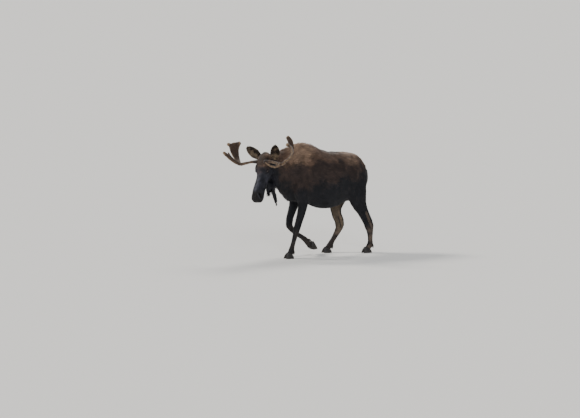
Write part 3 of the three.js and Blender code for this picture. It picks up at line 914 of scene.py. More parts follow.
    def _open_eyes(self) -> None:
        """Lays the lids over the balls and opens the slit between them."""
        lid, recess, snap_reach = 0.0028, 0.0045, 0.16
        points = self.surface.points
        for socket in SOCKETS:
            out, along, up = socket.axes()
            near = np.flatnonzero(np.linalg.norm(points - socket.centre, axis=1) < 0.050)
            edge, s, t, n = socket.almond(points[near])
            snap = np.abs(edge - 1.0) < snap_reach
            pull = np.where(snap, 1.0 / np.maximum(edge, 0.1), 1.0)
            s, t = s * pull, t * pull
            edge = np.where(snap, 1.001, edge)
            flat = np.hypot(s, t)
            lid_out = np.sqrt(np.maximum((socket.radius + lid) ** 2 - flat**2, 0.0))
            inner_out = np.sqrt(np.maximum((socket.radius - recess) ** 2 - flat**2, 0.0))
            crease = 0.0016 * np.exp(-(((edge - 1.75) / 0.22) ** 2)) * (t > 0)
            lifted = n + ramp(2.3, 1.3, edge) * (np.maximum(lid_out, n - 0.004) - n)
            height = np.where(edge < 1.0, inner_out, lifted - crease)
            moved = socket.centre + s[:, None] * along + t[:, None] * up + height[:, None] * out
            front = (edge < BEHIND_THE_EYE)[:, None]
            points[near] = np.where(front, moved, points[near])

    def _leg_ways(self) -> Array:
        """The way down the nearest leg.

        Returns:
            A direction at each point.
        """
        points = self.surface.points
        ways = np.zeros_like(points)
        nearest = np.full(len(points), np.inf)
        for line in LEG_LINES.values():
            joints = BODY.place(np.array(line))
            gap, share = away_from_line(points, joints)
            runs = unit(np.diff(joints, axis=0))
            step = np.clip((share * len(runs)).astype(int), 0, len(runs) - 1)
            closer = gap < nearest
            ways[closer] = runs[step[closer]]
            nearest[closer] = gap[closer]
        return ways

    def _ear_ways(self) -> Array:
        """The way to each ear's tip.

        Returns:
            A direction at each point of the ears, and none elsewhere.
        """
        points = self.surface.points
        ways = np.zeros_like(points)
        for side in SIDES:
            low, high = box_of("ear_" + side)
            inside = np.all((points > low - 0.02) & (points < high + 0.02), axis=1)
            corners = Surface.of_nodes(["ear_" + side]).points
            tip = corners[np.argmax(corners[:, 2])]
            ways[inside] = unit(tip - points[inside]) + 0.2 * unit(tip - (low + high) / 2)
        return ways

    def _comb(self) -> None:
        """Sets the way the hair lies at each point of the skin."""
        points = self.surface.points
        forward, _, up = BODY.terms(points)
        down, aside, fore = BODY.head_terms(points)
        crest = ramp(1.45, 1.62, up)
        breast = ramp(1.22, 1.42, forward) * ramp(1.35, 1.15, up)
        throat = ramp(1.40, 1.20, up)
        cheek = ramp(0.02, -0.08, fore) * ramp(0.52, 0.36, down)
        parting = 0.25 * np.sign(aside) * ramp(0.03, 0.09, np.abs(aside))
        leg = self._leg_ways()
        ways = {
            "trunk": body_ways(-(1.0 - 0.7 * breast), -0.42 * (1.0 - crest) - 0.9 * breast),
            "neck": body_ways(-0.75 * (1.0 - 0.8 * throat), -0.8 * (1.0 - crest) - 0.5 * throat),
            "head": BODY.head_ways(np.stack([-np.ones(len(points)), parting, -0.55 * cheek], 1)),
            "ear": self._ear_ways(),
            "bell": body_ways(-0.08, -1.0),
            "tail": body_ways(-0.2, -1.0),
            "upper_leg": body_ways(-0.35, -1.0),
            "mid_leg": leg,
            "cannon": leg,
        }
        flow = sum(self.shares[name][:, None] * unit(ways[name]) for name in REGION_NAMES)
        for socket in SOCKETS:
            edge, s, t, _ = socket.almond(points)
            _, along, across = socket.axes()
            spread = s[:, None] * along * 0.4 + t[:, None] * across
            flow += (2.0 * ramp(2.4, 1.1, edge))[:, None] * unit(spread)
        flow = self.surface.averaged(unit(self._along_skin(flow)), 5)
        self.flow = unit(self._along_skin(flow))

    def _along_skin(self, ways: Array) -> Array:
        """Directions without the part of them that leaves the skin."""
        return ways - self.normals * np.sum(ways * self.normals, 1, keepdims=True)


MARKS = ("umber", "warm", "sand", "grey", "pale", "nose", "slate", "well", "inner", "spine", "lids")


class Markings:
    """The markings that skin and hair share, each from 0 to 1 at the skin's points."""

    def __init__(self, skin: Skin) -> None:
        """Finds where the skin's points lie, and how far the markings wander there.

        Args:
            skin: that is marked.
        """
        self.skin = skin
        points = skin.surface.points
        self.points = points
        self.share = skin.shares
        self.forward, self.left, self.up = BODY.terms(points)
        self.down, self.aside, self.fore = BODY.head_terms(points)
        self.wander = 0.055 * cloud(points, 0.20, 21) + 0.035 * cloud(points, 0.07, 22)
        self.streak = cloud(points * np.array([1.0, 0.35, 1.0]), 0.05, 23)
        self.brow = (
            ramp(0.36, 0.20, self.down + 0.4 * np.abs(self.aside) + 0.9 * self.wander)
            * ramp(-0.06, 0.02, self.fore)
        )

    def all(self) -> dict[str, Array]:
        """Works out every marking.

        Returns:
            The markings by name, in the order of MARKS.
        """
        found = self._browns() | self._sands() | self._legs()
        found |= self._muzzle() | self._ears_and_lids()
        found["pale"] = np.maximum(found["pale"], found.pop("ear_rim"))
        return {name: np.clip(found[name], 0, 1) for name in MARKS}

    def _body(self) -> Array:
        """1 on the trunk, neck, thighs, arms and tail."""
        return sum(self.share[name] for name in ("trunk", "neck", "upper_leg", "tail"))

    def _browns(self) -> dict[str, Array]:
        """Marks the dark brown above the flank's black and the warm brown higher still: the coat's own
        colours, partly painted as top light above and shade on the lower sides.

        Returns:
            The umber and the warm, partly painted top light, markings.
        """
        forward, up, down, share = self.forward, self.up, self.down, self.share
        places = [0.0, 0.25, 0.60, 0.95, 1.12, 1.28, 1.45, 1.60, 1.75]
        edge = np.interp(forward, places, [1.30, 1.25, 1.17, 1.15, 1.13, 1.13, 1.16, 1.19, 1.25])
        shade = np.interp(forward, places, [1.38, 1.43, 1.47, 1.52, 1.48, 1.43, 1.45, 1.48, 1.47])
        drift = 1.5 * self.wander + 0.04 * self.streak
        rear = ramp(0.13, 0.03, forward) * ramp(1.42, 1.30, up)
        bridge = (
            ramp(0.38, 0.30, down)
            * ramp(0.075, 0.035, np.abs(self.aside))
            * ramp(0.02, 0.06, self.fore)
        )
        crown = ramp(0.12, 0.02, down)
        forehead = np.maximum.reduce([self.brow, 0.6 * bridge, crown]) + 0.5 * self.wander
        forehead = np.clip(forehead, 0, 1) * share["head"]
        # the rise from black through umber to warm brown is partly the coat's own colour and partly
        # painted top light, with painted shade on the lower sides
        umber = ramp(-0.17, 0.17, up - edge + drift) * self._body()
        umber *= 1.0 - 0.85 * rear
        umber += forehead + 0.9 * share["ear"]
        warm = ramp(-0.15, 0.15, up - shade + drift) * self._body() * (1.0 - rear)
        warm += 0.38 * forehead * (0.9 + 0.9 * self.streak) + 0.35 * share["ear"]
        return {"umber": umber, "warm": warm}

    def _sands(self) -> dict[str, Array]:
        """Marks the pale hair on the hump, rump and brow, with a painted highlight on the hump and rump,
        and the dark line of the back with a painted bluish sheen.

        Returns:
            The sand markings, with their painted highlight, and the spine markings.
        """
        forward, up, share = self.forward, self.up, self.share
        hump = ramp(0.32, 0.06, np.hypot((forward - 1.28) * 0.8, (up - 1.68) * 1.1))
        rump = ramp(0.17, 0.03, np.hypot((forward - 0.36) * 0.8, up - 1.53))
        # pale hair on the hump and rump, brightened as a painted highlight where their tops catch the
        # light
        sand = np.maximum(hump, 0.85 * rump) * (0.85 + 0.5 * self.streak) * self._body()
        sand += 0.14 * self.brow * share["head"] * (0.8 + 0.9 * self.streak)
        # a dark line along the back's top, painted in bluish black as a sky sheen on the hair
        back = ramp(1.05, 0.95, forward) * ramp(0.45, 0.60, forward)
        spine = ramp(0.10, 0.04, np.abs(self.left)) * back * share["trunk"]
        return {"sand": sand, "spine": spine}

    def _legs(self) -> dict[str, Array]:
        """Marks the grey on the cannons and behind the hocks, and the pale inner thighs.

        Returns:
            The grey and pale markings.
        """
        share, up = self.share, self.up
        rightward, forward_facing = (-self.skin.normals[:, i] for i in range(2))
        legs = share["mid_leg"] + share["cannon"]
        hind = ramp(0.85, 0.70, self.forward)
        shin = ramp(0.45, 0.85, forward_facing)
        grey = share["cannon"] * (0.14 + 0.36 * hind) * (1.0 - 0.75 * shin) * (1.0 + self.streak)
        behind = np.array([-0.034, 0.0, 0.0])
        flat = np.array([0.3, 1.0, 1.0])
        for name in ("hind_left", "hind_right"):
            hollow = np.array(LEG_LINES[name])[2:0:-1] + behind
            gap, _ = away_from_line(self.points * flat, BODY.place(hollow) * flat)
            strip = ramp(0.032, 0.018, gap) * ramp(-0.75, -0.45, forward_facing)
            grey = np.maximum(grey, 0.7 * strip * legs * (1.0 - shin))
        inside = ramp(0.05, 0.55, rightward * np.sign(self.left)) * hind
        stripe = ramp(-0.42, -0.08, forward_facing)
        level = ramp(1.00, 0.86, up) * ramp(0.26, 0.44, up)
        return {"grey": grey, "pale": 0.45 * inside * stripe * level * (legs + share["upper_leg"])}

    def _muzzle(self) -> dict[str, Array]:
        """Marks the nose, a painted bluish sky sheen down the face and cheeks, and the nostrils and
        mouth line.

        Returns:
            The nose, painted sheen and well markings.
        """
        down, fore, head = self.down, self.fore, self.share["head"]
        nose = ramp(0.575, 0.625, down + 0.10 * self.wander) * ramp(-0.070, -0.030, fore) * head
        # painted sheen: a bluish sky reflection painted down the bridge of the nose, and more faintly
        # over the cheeks
        high = ramp(0.075, 0.025, np.abs(self.aside)) * ramp(0.03, 0.06, fore)
        above_the_nose = ramp(0.66, 0.58, down)
        slate = (0.30 + 0.55 * high) * ramp(0.28, 0.44, down + self.wander) * above_the_nose
        slate = np.maximum(slate, 0.30 * ramp(0.20, 0.28, down) * above_the_nose) * head
        well = np.zeros(len(self.points))
        for side in SIDES.values():
            mirror = np.array([1.0, side, 1.0])
            opening = np.array(NOSTRIL) * mirror - np.array([0.0, 0.004 * side, 0.010])
            gap, _ = away_from_line(self.points, BODY.on_head(opening))
            well = np.maximum(well, ramp(0.0145, 0.0080, gap))
            # painted highlights laid along the nostril rims and the upper lip's rim
            for rim, glow in ((NOSTRIL_RIM, 0.25), (LIP_RIM, 1.0)):
                gap, _ = away_from_line(self.points, BODY.on_head(np.array(rim) * mirror))
                slate = np.maximum(slate, glow * ramp(0.016, 0.006, gap))
        along, _, height = zip(*MOUTH_LINE)
        off_the_mouth = np.abs(fore - np.interp(down, along, height))
        mouth = ramp(0.006, 0.003, off_the_mouth) * ramp(0.55, 0.57, down) * head
        return {
            "nose": nose,
            "slate": slate * (1.0 + self.streak),
            "well": np.maximum(well, mouth),
        }

    def _ears_and_lids(self) -> dict[str, Array]:
        """Marks the cups and pale rims of the ears, and the eyelids.

        Returns:
            The inner, ear_rim and lids markings.
        """
        normals, ear = self.skin.normals, self.share["ear"]
        inner = np.zeros(len(self.points))
        turn = BODY.head_turn(pitched=False)
        openings = {"left": (0.50, -0.85, -0.20), "right": (0.36, -0.84, 0.10)}
        for side, opening in openings.items():
            low, high = box_of("ear_" + side)
            there = np.all((self.points > low - 0.01) & (self.points < high + 0.01), axis=1)
            facing = normals @ unit(np.array([opening]) @ turn.T)[0]
            inner = np.where(there, ramp(0.05, 0.45, facing) * ear, inner)
        thin = 1.0 - np.linalg.norm(self.skin.surface.averaged(normals, 5), axis=1)
        rim = ramp(0.12, 0.40, thin)
        lids = [ramp(1.9, 1.1, socket.almond(self.points)[0]) for socket in SOCKETS]
        return {
            "inner": inner * (1.0 - 0.8 * rim),
            "ear_rim": 0.70 * rim * ramp(0.5, 0.9, ear),
            "lids": np.maximum(*lids),
        }


# ------------------------------------------------------------------ the coat

PART_LINES = {
    "body": BODY.place(((0.00, 0.0, 1.20), (1.46, 0.0, 1.26))),
    "neck": BODY.place(((1.30, 0.0, 1.36), (1.80, 0.05, 1.40))),
    "head": BODY.on_head(((-0.03, 0.0, 0.0), (0.77, 0.0, -0.01))),
    "bell": BODY.place(((1.70, 0.09, 1.25), (1.64, 0.09, 0.84))),
    "tail": BODY.place(((0.02, 0.0, 1.33), (-0.05, 0.0, 1.13))),
    "ear_left": BODY.place(((1.80, 0.20, 1.55), (1.95, 0.33, 1.82))),
    "ear_right": BODY.place(((1.80, -0.05, 1.55), (1.95, -0.30, 1.80))),
}
PART_LINES |= {
    "leg_" + name: BODY.place(np.array([(*line[0][:2], 1.55), *line]))
    for name, line in LEG_LINES.items()
}


@dataclass(frozen=True)
class CoatPiece:
    """One stretch of the coat, as one mesh.

    Args:
        name: of the piece.
        regions: whose skin it grows on.
        locks: how many there are.
        rings: how many sections a lock has before its tip.
        parts: the lines that its skin is unwrapped round.
        forward: how far forward it starts and ends.
        left: how far left it starts and ends.
        slot: the slot name for its finish.
    """

    name: str
    regions: tuple[str, ...]
    locks: int
    rings: int
    parts: tuple[str, ...]
    forward: tuple[float, float] = (-FAR, FAR)
    left: tuple[float, float] = (-FAR, FAR)
    slot: Slot = Slot.BODY


ON_LEFT, ON_RIGHT = (0.0, FAR), (-FAR, 0.0)
BEHIND, BEFORE = (-FAR, 0.78), (0.78, FAR)
FORE_LEGS = ("leg_fore_left", "leg_fore_right")
HIND_LEGS = ("leg_hind_left", "leg_hind_right")
EARS = ("ear_left", "ear_right")
COAT_PIECES = [
    CoatPiece("coat_flank_left", ("trunk",), 9700, 3, ("body",), BEHIND, ON_LEFT),
    CoatPiece("coat_flank_right", ("trunk",), 9700, 3, ("body",), BEHIND, ON_RIGHT),
    CoatPiece("coat_shoulder_left", ("trunk",), 8400, 3, ("body",), BEFORE, ON_LEFT),
    CoatPiece("coat_shoulder_right", ("trunk",), 8400, 3, ("body",), BEFORE, ON_RIGHT),
    CoatPiece("coat_neck", ("neck",), 9600, 3, ("neck",)),
    CoatPiece("coat_face_left", ("head",), 12000, 2, ("head",), left=ON_LEFT, slot=Slot.FACE),
    CoatPiece("coat_face_right", ("head",), 12000, 2, ("head",), left=ON_RIGHT, slot=Slot.FACE),
    CoatPiece("coat_ears", ("ear",), 5200, 2, EARS, slot=Slot.FACE),
    CoatPiece("coat_bell_and_tail", ("bell", "tail"), 5400, 3, ("bell", "tail"), slot=Slot.FACE),
    CoatPiece("coat_fore_arms", ("upper_leg",), 4600, 3, FORE_LEGS, BEFORE, slot=Slot.LEG),
    CoatPiece("coat_thighs", ("upper_leg",), 7600, 3, HIND_LEGS, BEHIND, slot=Slot.LEG),
    CoatPiece("coat_shins", ("mid_leg", "cannon"), 18500, 2, FORE_LEGS + HIND_LEGS, slot=Slot.LEG),
]


@dataclass
class Coat:
    """Locks of solid hair over the skin."""

    skin: Skin
    patch: float = 0.003
    root_depth: float = 0.0025

    def _faces_of(self, piece: CoatPiece) -> Array:
        """Picks the skin's faces that a piece of the coat grows on.

        Args:
            piece: which.

        Returns:
            Three of the skin's points for each face.
        """
        surface = self.skin.surface
        table = np.stack([self.skin.shares[name] for name in REGION_NAMES], 1)
        own = table[surface.faces].mean(1).argmax(1)
        middle = surface.points[surface.faces].mean(1)
        forward, left, _ = BODY.terms(middle)
        if "head" in piece.regions:
            _, left, _ = BODY.head_terms(middle)
        wanted = np.isin(own, [REGION_NAMES.index(name) for name in piece.regions])
        wanted &= (forward >= piece.forward[0]) & (forward < piece.forward[1])
        wanted &= (left >= piece.left[0]) & (left < piece.left[1])
        return surface.faces[wanted]

    def measures(self) -> dict[str, Array]:
        """Works out the hair's measures over the skin.

        Returns:
            Length, width, lift and closeness at each point.
        """
        skin = self.skin
        points = skin.surface.points
        forward, _, up = BODY.terms(points)
        down, _, fore = BODY.head_terms(points)
        shares, marks = skin.shares, skin.marks
        body = shares["trunk"] + shares["neck"]
        hump = ramp(1.50, 1.66, up) * ramp(0.85, 1.08, forward) * ramp(1.75, 1.55, forward) * body
        breast = ramp(1.30, 1.45, forward) * ramp(1.20, 1.02, up) * body
        belly = ramp(0.88, 0.78, up) * body
        tip = ramp(1.02, 0.88, up) * shares["bell"]
        throat = ramp(-0.06, -0.12, fore) * ramp(0.62, 0.40, down) * shares["head"]
        crown = ramp(0.16, 0.04, down) * shares["head"]
        nose, inner, lids, bare = (marks[name] for name in ("nose", "inner", "lids", "well"))

        plain = skin.blend("length")
        length = plain * (1.0 + 0.75 * hump + 0.45 * breast + 0.15 * belly)
        for change in (-0.35 * tip, 1.6 * throat + crown, -0.62 * nose, 1.1 * inner, -0.62 * lids):
            length = length * (1.0 + change)
        lift = skin.blend("lift")
        for change in (0.30 * hump + 0.2 * breast, -0.55 * nose, 1.6 * inner, -0.6 * lids):
            lift = lift * (1.0 + change)
        close = skin.blend("density")
        for change in (0.5 * nose, -0.5 * inner, 1.2 * lids):
            close = close * (1.0 + change)
        fullness = np.minimum(1.0, length / np.maximum(plain, 1e-6))
        width = skin.blend("width") * (0.35 + 0.65 * fullness)
        for socket in SOCKETS:
            bare = np.maximum(bare, ramp(1.22, 1.10, socket.almond(points)[0]))
        return {"length": length, "width": width, "lift": lift, "close": close * (1.0 - bare)}

    def _unwrap(self, roots: Array, parts: tuple[str, ...]) -> Array:
        """Places of roots on the skin unwrapped round the lines it follows.

        Args:
            roots: points on the skin.
            parts: the lines, each of which takes an equal strip of the map.

        Returns:
            Two numbers for each root, from 0.01 to 0.99.
        """
        best = np.full(len(roots), np.inf)
        places = np.zeros((len(roots), 2))
        for i, part in enumerate(parts):
            line = PART_LINES[part]
            gap, share = away_from_line(roots, line)
            run = unit(line[-1] - line[0])
            side = unit(np.cross(run, [0.13, 0.21, 0.97]))
            top = np.cross(side, run)
            away = roots - (line[0] + share[:, None] * (line[-1] - line[0]))
            angle = np.arctan2(away @ side, away @ top) / (2 * math.pi) + 0.5
            closer = gap < best
            chart = np.stack([(i + 0.02 + 0.96 * angle) / len(parts), 0.02 + 0.95 * share], 1)
            places[closer] = chart[closer]
            best[closer] = gap[closer]
        return places

    @staticmethod
    def _lock_faces(rings: int) -> Array:
        """The faces of one lock: a closed root, three-sided lengths and a tip.

        Args:
            rings: sections before the tip, of three corners each.

        Returns:
            Three of the lock's corners for each face.
        """
        faces = [(0, 2, 1)]
        for low in range(0, 3 * rings, 3):
            for i in range(3):
                j = (i + 1) % 3
                if low == 3 * (rings - 1):
                    faces.append((low + i, low + j, 3 * rings))
                else:
                    faces.append((low + i, low + j, low + 3 + j))
                    faces.append((low + i, low + 3 + j, low + 3 + i))
        return np.array(faces)

    def grow(self, piece: CoatPiece, measures: dict[str, Array], seed: int) -> bpy.types.Mesh:
        """Grows one piece of the coat.

        Args:
            piece: which.
            measures: the hair's measures at each point of the skin.
            seed: of its random spread.

        Returns:
            The mesh of all its locks.
        """
        rng = np.random.default_rng(seed)
        skin, surface, count = self.skin, self.skin.surface, piece.locks
        faces = self._faces_of(piece)
        a, b, c = (surface.points[faces[:, i]] for i in range(3))
        area = np.linalg.norm(np.cross(b - a, c - a), axis=1) / 2
        weight = np.cumsum(area * measures["close"][faces].mean(1))
        pick = (np.arange(count) + rng.random(count)) / count * weight[-1]
        chosen = faces[np.searchsorted(weight, pick).clip(0, len(faces) - 1)]
        u, v = rng.random((2, count))
        flip = u + v > 1
        u, v = np.where(flip, 1 - u, u), np.where(flip, 1 - v, v)
        mix = np.stack([1 - u - v, u, v], 1)

        def at_root(values: Array) -> Array:
            """Values of the skin's points, taken at the roots."""
            return np.einsum("ij,ij...->i...", mix, values[chosen])

        roots = at_root(surface.points)
        normal = unit(at_root(skin.normals))
        flow = at_root(skin.flow)
        length = at_root(measures["length"]) * rng.uniform(0.72, 1.22, count)
        width = at_root(measures["width"]) * rng.uniform(0.75, 1.25, count)
        lift = at_root(measures["lift"]) * rng.uniform(0.45, 1.55, count)
        clump = swirl(roots, 0.032, 41) * 0.30 + swirl(roots, 0.10, 47) * 0.22
        flow = unit(flow + clump + 0.13 * rng.standard_normal((count, 3)))
        flow = unit(flow - normal * np.sum(flow * normal, 1, keepdims=True))
        across = np.cross(normal, flow)
        lift *= 1.0 + 0.35 * cloud(roots, 0.040, 53)
        curl = rng.normal(0.0, 0.10, count)

        def middle_at(t: float) -> Array:
            """The middle of each lock, part of the way to its tip.

            Args:
                t: how much of the way.

            Returns:
                A point for each lock.
            """
            run, bend = length * t, curl * length * t * t
            rise = lift * length * t * (1.0 - 0.5 * t) - (self.root_depth if t == 0.0 else 0.0)
            return roots + flow * run[:, None] + normal * rise[:, None] + across * bend[:, None]

        sections = {3: ((0.0, 0.55), (0.36, 1.0), (0.72, 0.62)), 2: ((0.0, 0.70), (0.50, 0.85))}
        corners, along, shades = [], [], []
        for t, fat in sections[piece.rings]:
            middle = middle_at(t)
            half = (width * fat * 0.5)[:, None]
            corners += [middle - across * half, middle + across * half, middle + normal * half * 0.75]
            along += [t] * 3
            shades += [-across, across, normal]
        corners.append(middle_at(1.0))
        along.append(1.0)
        shades.append(normal)
        size = len(corners)
        shade = unit(np.stack(shades, 1) * 0.45 + normal[:, None] * 0.75)
        starts = size * np.arange(count)[:, None, None]
        all_faces = (starts + self._lock_faces(piece.rings)).reshape(-1, 3)
        mesh = Surface(np.stack(corners, 1).reshape(-1, 3), all_faces).mesh(piece.name)

        over = (-0.5, 0.5, 0.0) * piece.rings + (0.0,)
        patch = np.stack([over, along], 1) * self.patch
        uv = (self._unwrap(roots, piece.parts)[:, None] + patch).reshape(-1, 2)
        layer = mesh.uv_layers.new(name="OFBake")
        layer.data.foreach_set("uv", uv[all_faces.ravel()].astype(np.float32).ravel())
        tint = 0.5 + 0.5 * cloud(roots, 0.05, 61) + rng.normal(0, 0.22, count)
        values = {name: np.repeat(at_root(mark), size) for name, mark in skin.marks.items()}
        values["along"] = np.tile(along, count)
        values["tint"] = np.repeat(np.clip(tint, 0, 1), size)
        set_values(mesh, values)
        mesh.normals_split_custom_set_from_vertices(shade.reshape(-1, 3))
        log.info("%s: %d locks, %d triangles", piece.name, count, len(all_faces))
        return mesh


# ------------------------------------------------------------------ finishes


def srgb(red: int, green: int, blue: int) -> Rgba:
    """A colour of eight-bit screen values as the renderer's linear one.

    Args:
        red: from 0 to 255.
        green: from 0 to 255.
        blue: from 0 to 255.

    Returns:
        The linear colour, opaque.
    """
    shares = [value / 255.0 for value in (red, green, blue)]
    linear = [s / 12.92 if s <= 0.04045 else ((s + 0.055) / 1.055) ** 2.4 for s in shares]
    return (*linear, 1.0)


Feed = bpy.types.NodeSocket | float | Rgba


class Graph:
    """A node tree with short ways to add to it and join it up."""

    def __init__(self, tree: bpy.types.NodeTree) -> None:
        """Starts from a tree."""
        self.tree = tree

    def node(
        self,
        kind: str,
        inputs: dict[str | int, Feed] | None = None,
        **settings: str | bpy.types.NodeTree,
    ) -> bpy.types.Node:
        """Adds a node.

        Args:
            kind: its Blender type.
            inputs: what each named or numbered input takes: a socket to join, or a value.
            **settings: the node's own settings.

        Returns:
            The node.
        """
        node = self.tree.nodes.new(kind)
        for name, value in settings.items():
            setattr(node, name, value)
        for key, value in (inputs or {}).items():
            if isinstance(value, bpy.types.NodeSocket):
                self.join(value, node.inputs[key])
            else:
                node.inputs[key].default_value = value
        return node

    def join(self, source: bpy.types.NodeSocket, target: bpy.types.NodeSocket) -> None:
        """Links two sockets."""
        self.tree.links.new(source, target)

    def math(self, operation: str, first: Feed, second: Feed = 0.0) -> bpy.types.NodeSocket:
        """The result of a Math node on sockets or numbers."""
        return self.node("ShaderNodeMath", {0: first, 1: second}, operation=operation).outputs[0]

    def times(self, first: Feed, second: Feed) -> bpy.types.NodeSocket:
        """The product of two sockets or numbers."""
        return self.math("MULTIPLY", first, second)

    def mixed(
        self, factor: Feed, first: Feed, second: Feed, blend: str = "MIX"
    ) -> bpy.types.NodeSocket:
        """Two colours mixed by a factor."""
        inputs = {0: factor, 6: first, 7: second}
        return self.node("ShaderNodeMix", inputs, data_type="RGBA", blend_type=blend).outputs[2]

    def spread(
        self, value: Feed, low: float, high: float, to_low: float = 0.0, to_high: float = 1.0
    ) -> bpy.types.NodeSocket:
        """A value's range carried smoothly to another.

        Args:
            value: that is carried over.
            low: where its range starts.
            high: where its range ends.
            to_low: what it has become at `low`.
            to_high: what it has become at `high`.

        Returns:
            The new value.
        """
        ends = {"From Min": low, "From Max": high, "To Min": to_low, "To Max": to_high}
        inputs = {"Value": value, **ends}
        return self.node("ShaderNodeMapRange", inputs, interpolation_type="SMOOTHSTEP").outputs[0]

    def noise(
        self, place: Feed, scale: Feed, detail: float = 3.0, rough: float = 0.55
    ) -> bpy.types.NodeSocket:
        """Noise at a place."""
        inputs = {"Vector": place, "Scale": scale, "Detail": detail, "Roughness": rough}
        return self.node("ShaderNodeTexNoise", inputs).outputs["Fac"]

    def attribute(self, name: str) -> bpy.types.NodeSocket:
        """A number stored on the mesh."""
        return self.node("ShaderNodeAttribute", attribute_name=name).outputs["Fac"]

    def place(self, stretch: Triple = (1.0, 1.0, 1.0)) -> bpy.types.NodeSocket:
        """Where the point is on the object, stretched."""
        return self.stretched(self.node("ShaderNodeTexCoord").outputs["Object"], stretch)

    def stretched(self, place: bpy.types.NodeSocket, stretch: Triple) -> bpy.types.NodeSocket:
        """A place stretched along the axes."""
        return self.node("ShaderNodeMapping", {"Vector": place, "Scale": stretch}).outputs[0]

    def bump(
        self, height: bpy.types.NodeSocket, strength: float, distance: float, **under: Feed
    ) -> bpy.types.NodeSocket:
        """Normals turned by a height.

        Args:
            height: of the surface.
            strength: of the turning.
            distance: what a height of 1 stands for.
            **under: the normal that it turns, as Normal, if not the surface's own.

        Returns:
            The new normal.
        """
        inputs = {"Strength": strength, "Distance": distance, "Height": height, **under}
        return self.node("ShaderNodeBump", inputs).outputs["Normal"]


class Group:
    """A node group while it is being filled."""

    def __init__(self, name: str, inputs: dict[str, float], outputs: dict[str, str]) -> None:
        """Makes an empty group with its sockets.

        Args:
            name: of the group.
            inputs: named numbers and their usual values.
            outputs: named sockets and their types.
        """
        self.tree = bpy.data.node_groups.new(name, "ShaderNodeTree")
        for key, value in inputs.items():
            socket = self.tree.interface.new_socket(
                name=key, in_out="INPUT", socket_type="NodeSocketFloat"
            )
            socket.default_value = value
        for key, kind in outputs.items():
            self.tree.interface.new_socket(name=key, in_out="OUTPUT", socket_type=kind)
        self.graph = Graph(self.tree)
        self.given = self.graph.node("NodeGroupInput").outputs
        self.out = self.graph.node("NodeGroupOutput").inputs


def mark_sockets() -> dict[str, str]:
    """The colour group's input for each marking on the mesh."""
    return {name.capitalize(): name for name in (*MARKS, "tint", "along")}


@dataclass(frozen=True)
class CoatColours:
    """The colours of the coat, shared by skin and hair."""

    # black hair, with a faint painted blue sky reflection in it
    black: Rgba = srgb(23, 24, 30)
    umber: Rgba = srgb(56, 44, 40)
    # the warm brown of the upper coat, partly painted top light
    brown: Rgba = srgb(98, 76, 62)
    # pale hair, brightened as a painted highlight on the hump and rump tops
    sand: Rgba = srgb(160, 131, 108)
    grey: Rgba = srgb(116, 100, 87)
    # painted sheen: the bluish sky reflection painted on the face
    slate: Rgba = srgb(72, 72, 83)
    pale: Rgba = srgb(150, 130, 106)
    nose: Rgba = srgb(26, 24, 25)
    well: Rgba = srgb(8, 7, 8)
    inner: Rgba = srgb(50, 40, 33)

    def group(self) -> bpy.types.NodeTree:
        """Makes the group that turns the markings into a colour.

        Returns:
            The group.
        """
        inputs = {name: 0.0 for name in mark_sockets()} | {"Tint": 0.5, "Along": 0.3}
        group = Group("coat colours", inputs, {"Colour": "NodeSocketColor"})
        graph, get = group.graph, group.given
        broad = graph.noise(graph.place(), 9.0, 4.0)
        fine = graph.noise(graph.place((1.0, 0.45, 1.0)), 55.0, 4.0, 0.7)
        drift = graph.spread(broad, 0.3, 0.7, -0.10, 0.10)
        drift = graph.math("ADD", drift, graph.spread(fine, 0.25, 0.75, -0.16, 0.16))
        drift = graph.math("ADD", drift, graph.spread(get["Tint"], 0.0, 1.0, -0.14, 0.14))
        cup = graph.mixed(graph.spread(get["Tint"], 0.58, 0.84, 0.0, 0.80), self.inner, self.pale)
        layers = (
            (graph.spread(graph.math("ADD", get["Umber"], drift), 0.12, 0.88), self.umber),
            # warm brown, partly painted top light
            (graph.spread(graph.math("ADD", get["Warm"], drift), 0.12, 0.88), self.brown),
            # pale hair with its painted highlight
            (graph.times(get["Sand"], graph.spread(fine, 0.25, 0.65, 0.55, 1.15)), self.sand),
            # the back's dark line with its painted bluish sheen
            (graph.times(get["Spine"], graph.spread(fine, 0.35, 0.60, 0.10, 0.85)), self.black),
            (get["Grey"], self.grey),
            (graph.times(get["Pale"], 0.92), self.pale),
            (get["Inner"], cup),
            (get["Nose"], self.nose),
            # the painted sheen and highlights of the face
            (get["Slate"], self.slate),
            (graph.times(get["Lids"], 0.8), self.black),
        )
        colour = self.black
        for factor, over in layers:
            colour = graph.mixed(factor, colour, over)
        by_tint = graph.spread(get["Tint"], 0.0, 1.0, 0.66, 1.36)
        light = graph.times(by_tint, graph.spread(get["Along"], 0.0, 1.0, 0.74, 1.20))
        shade = graph.node("ShaderNodeCombineColor", {0: light, 1: light, 2: light}).outputs[0]
        colour = graph.mixed(1.0, colour, shade, "MULTIPLY")
        graph.join(graph.mixed(get["Well"], colour, self.well), group.out["Colour"])
        return group.tree


@dataclass(frozen=True)
class HairGrain:
    """Fine streaks along the lie of short hair, as a height."""

    def group(self) -> bpy.types.NodeTree:
        """Makes the group whose height goes to a bump.

        Returns:
            The group.
        """
        group = Group("hair grain", {"Scale": 1.0}, {"Height": "NodeSocketFloat"})
        graph = group.graph
        streaks = graph.noise(graph.place((420.0, 420.0, 70.0)), group.given["Scale"], 4.0, 0.5)
        lumps = graph.noise(graph.place(), 38.0)
        graph.join(graph.math("ADD", streaks, graph.times(lumps, 0.6)), group.out["Height"])
        return group.tree


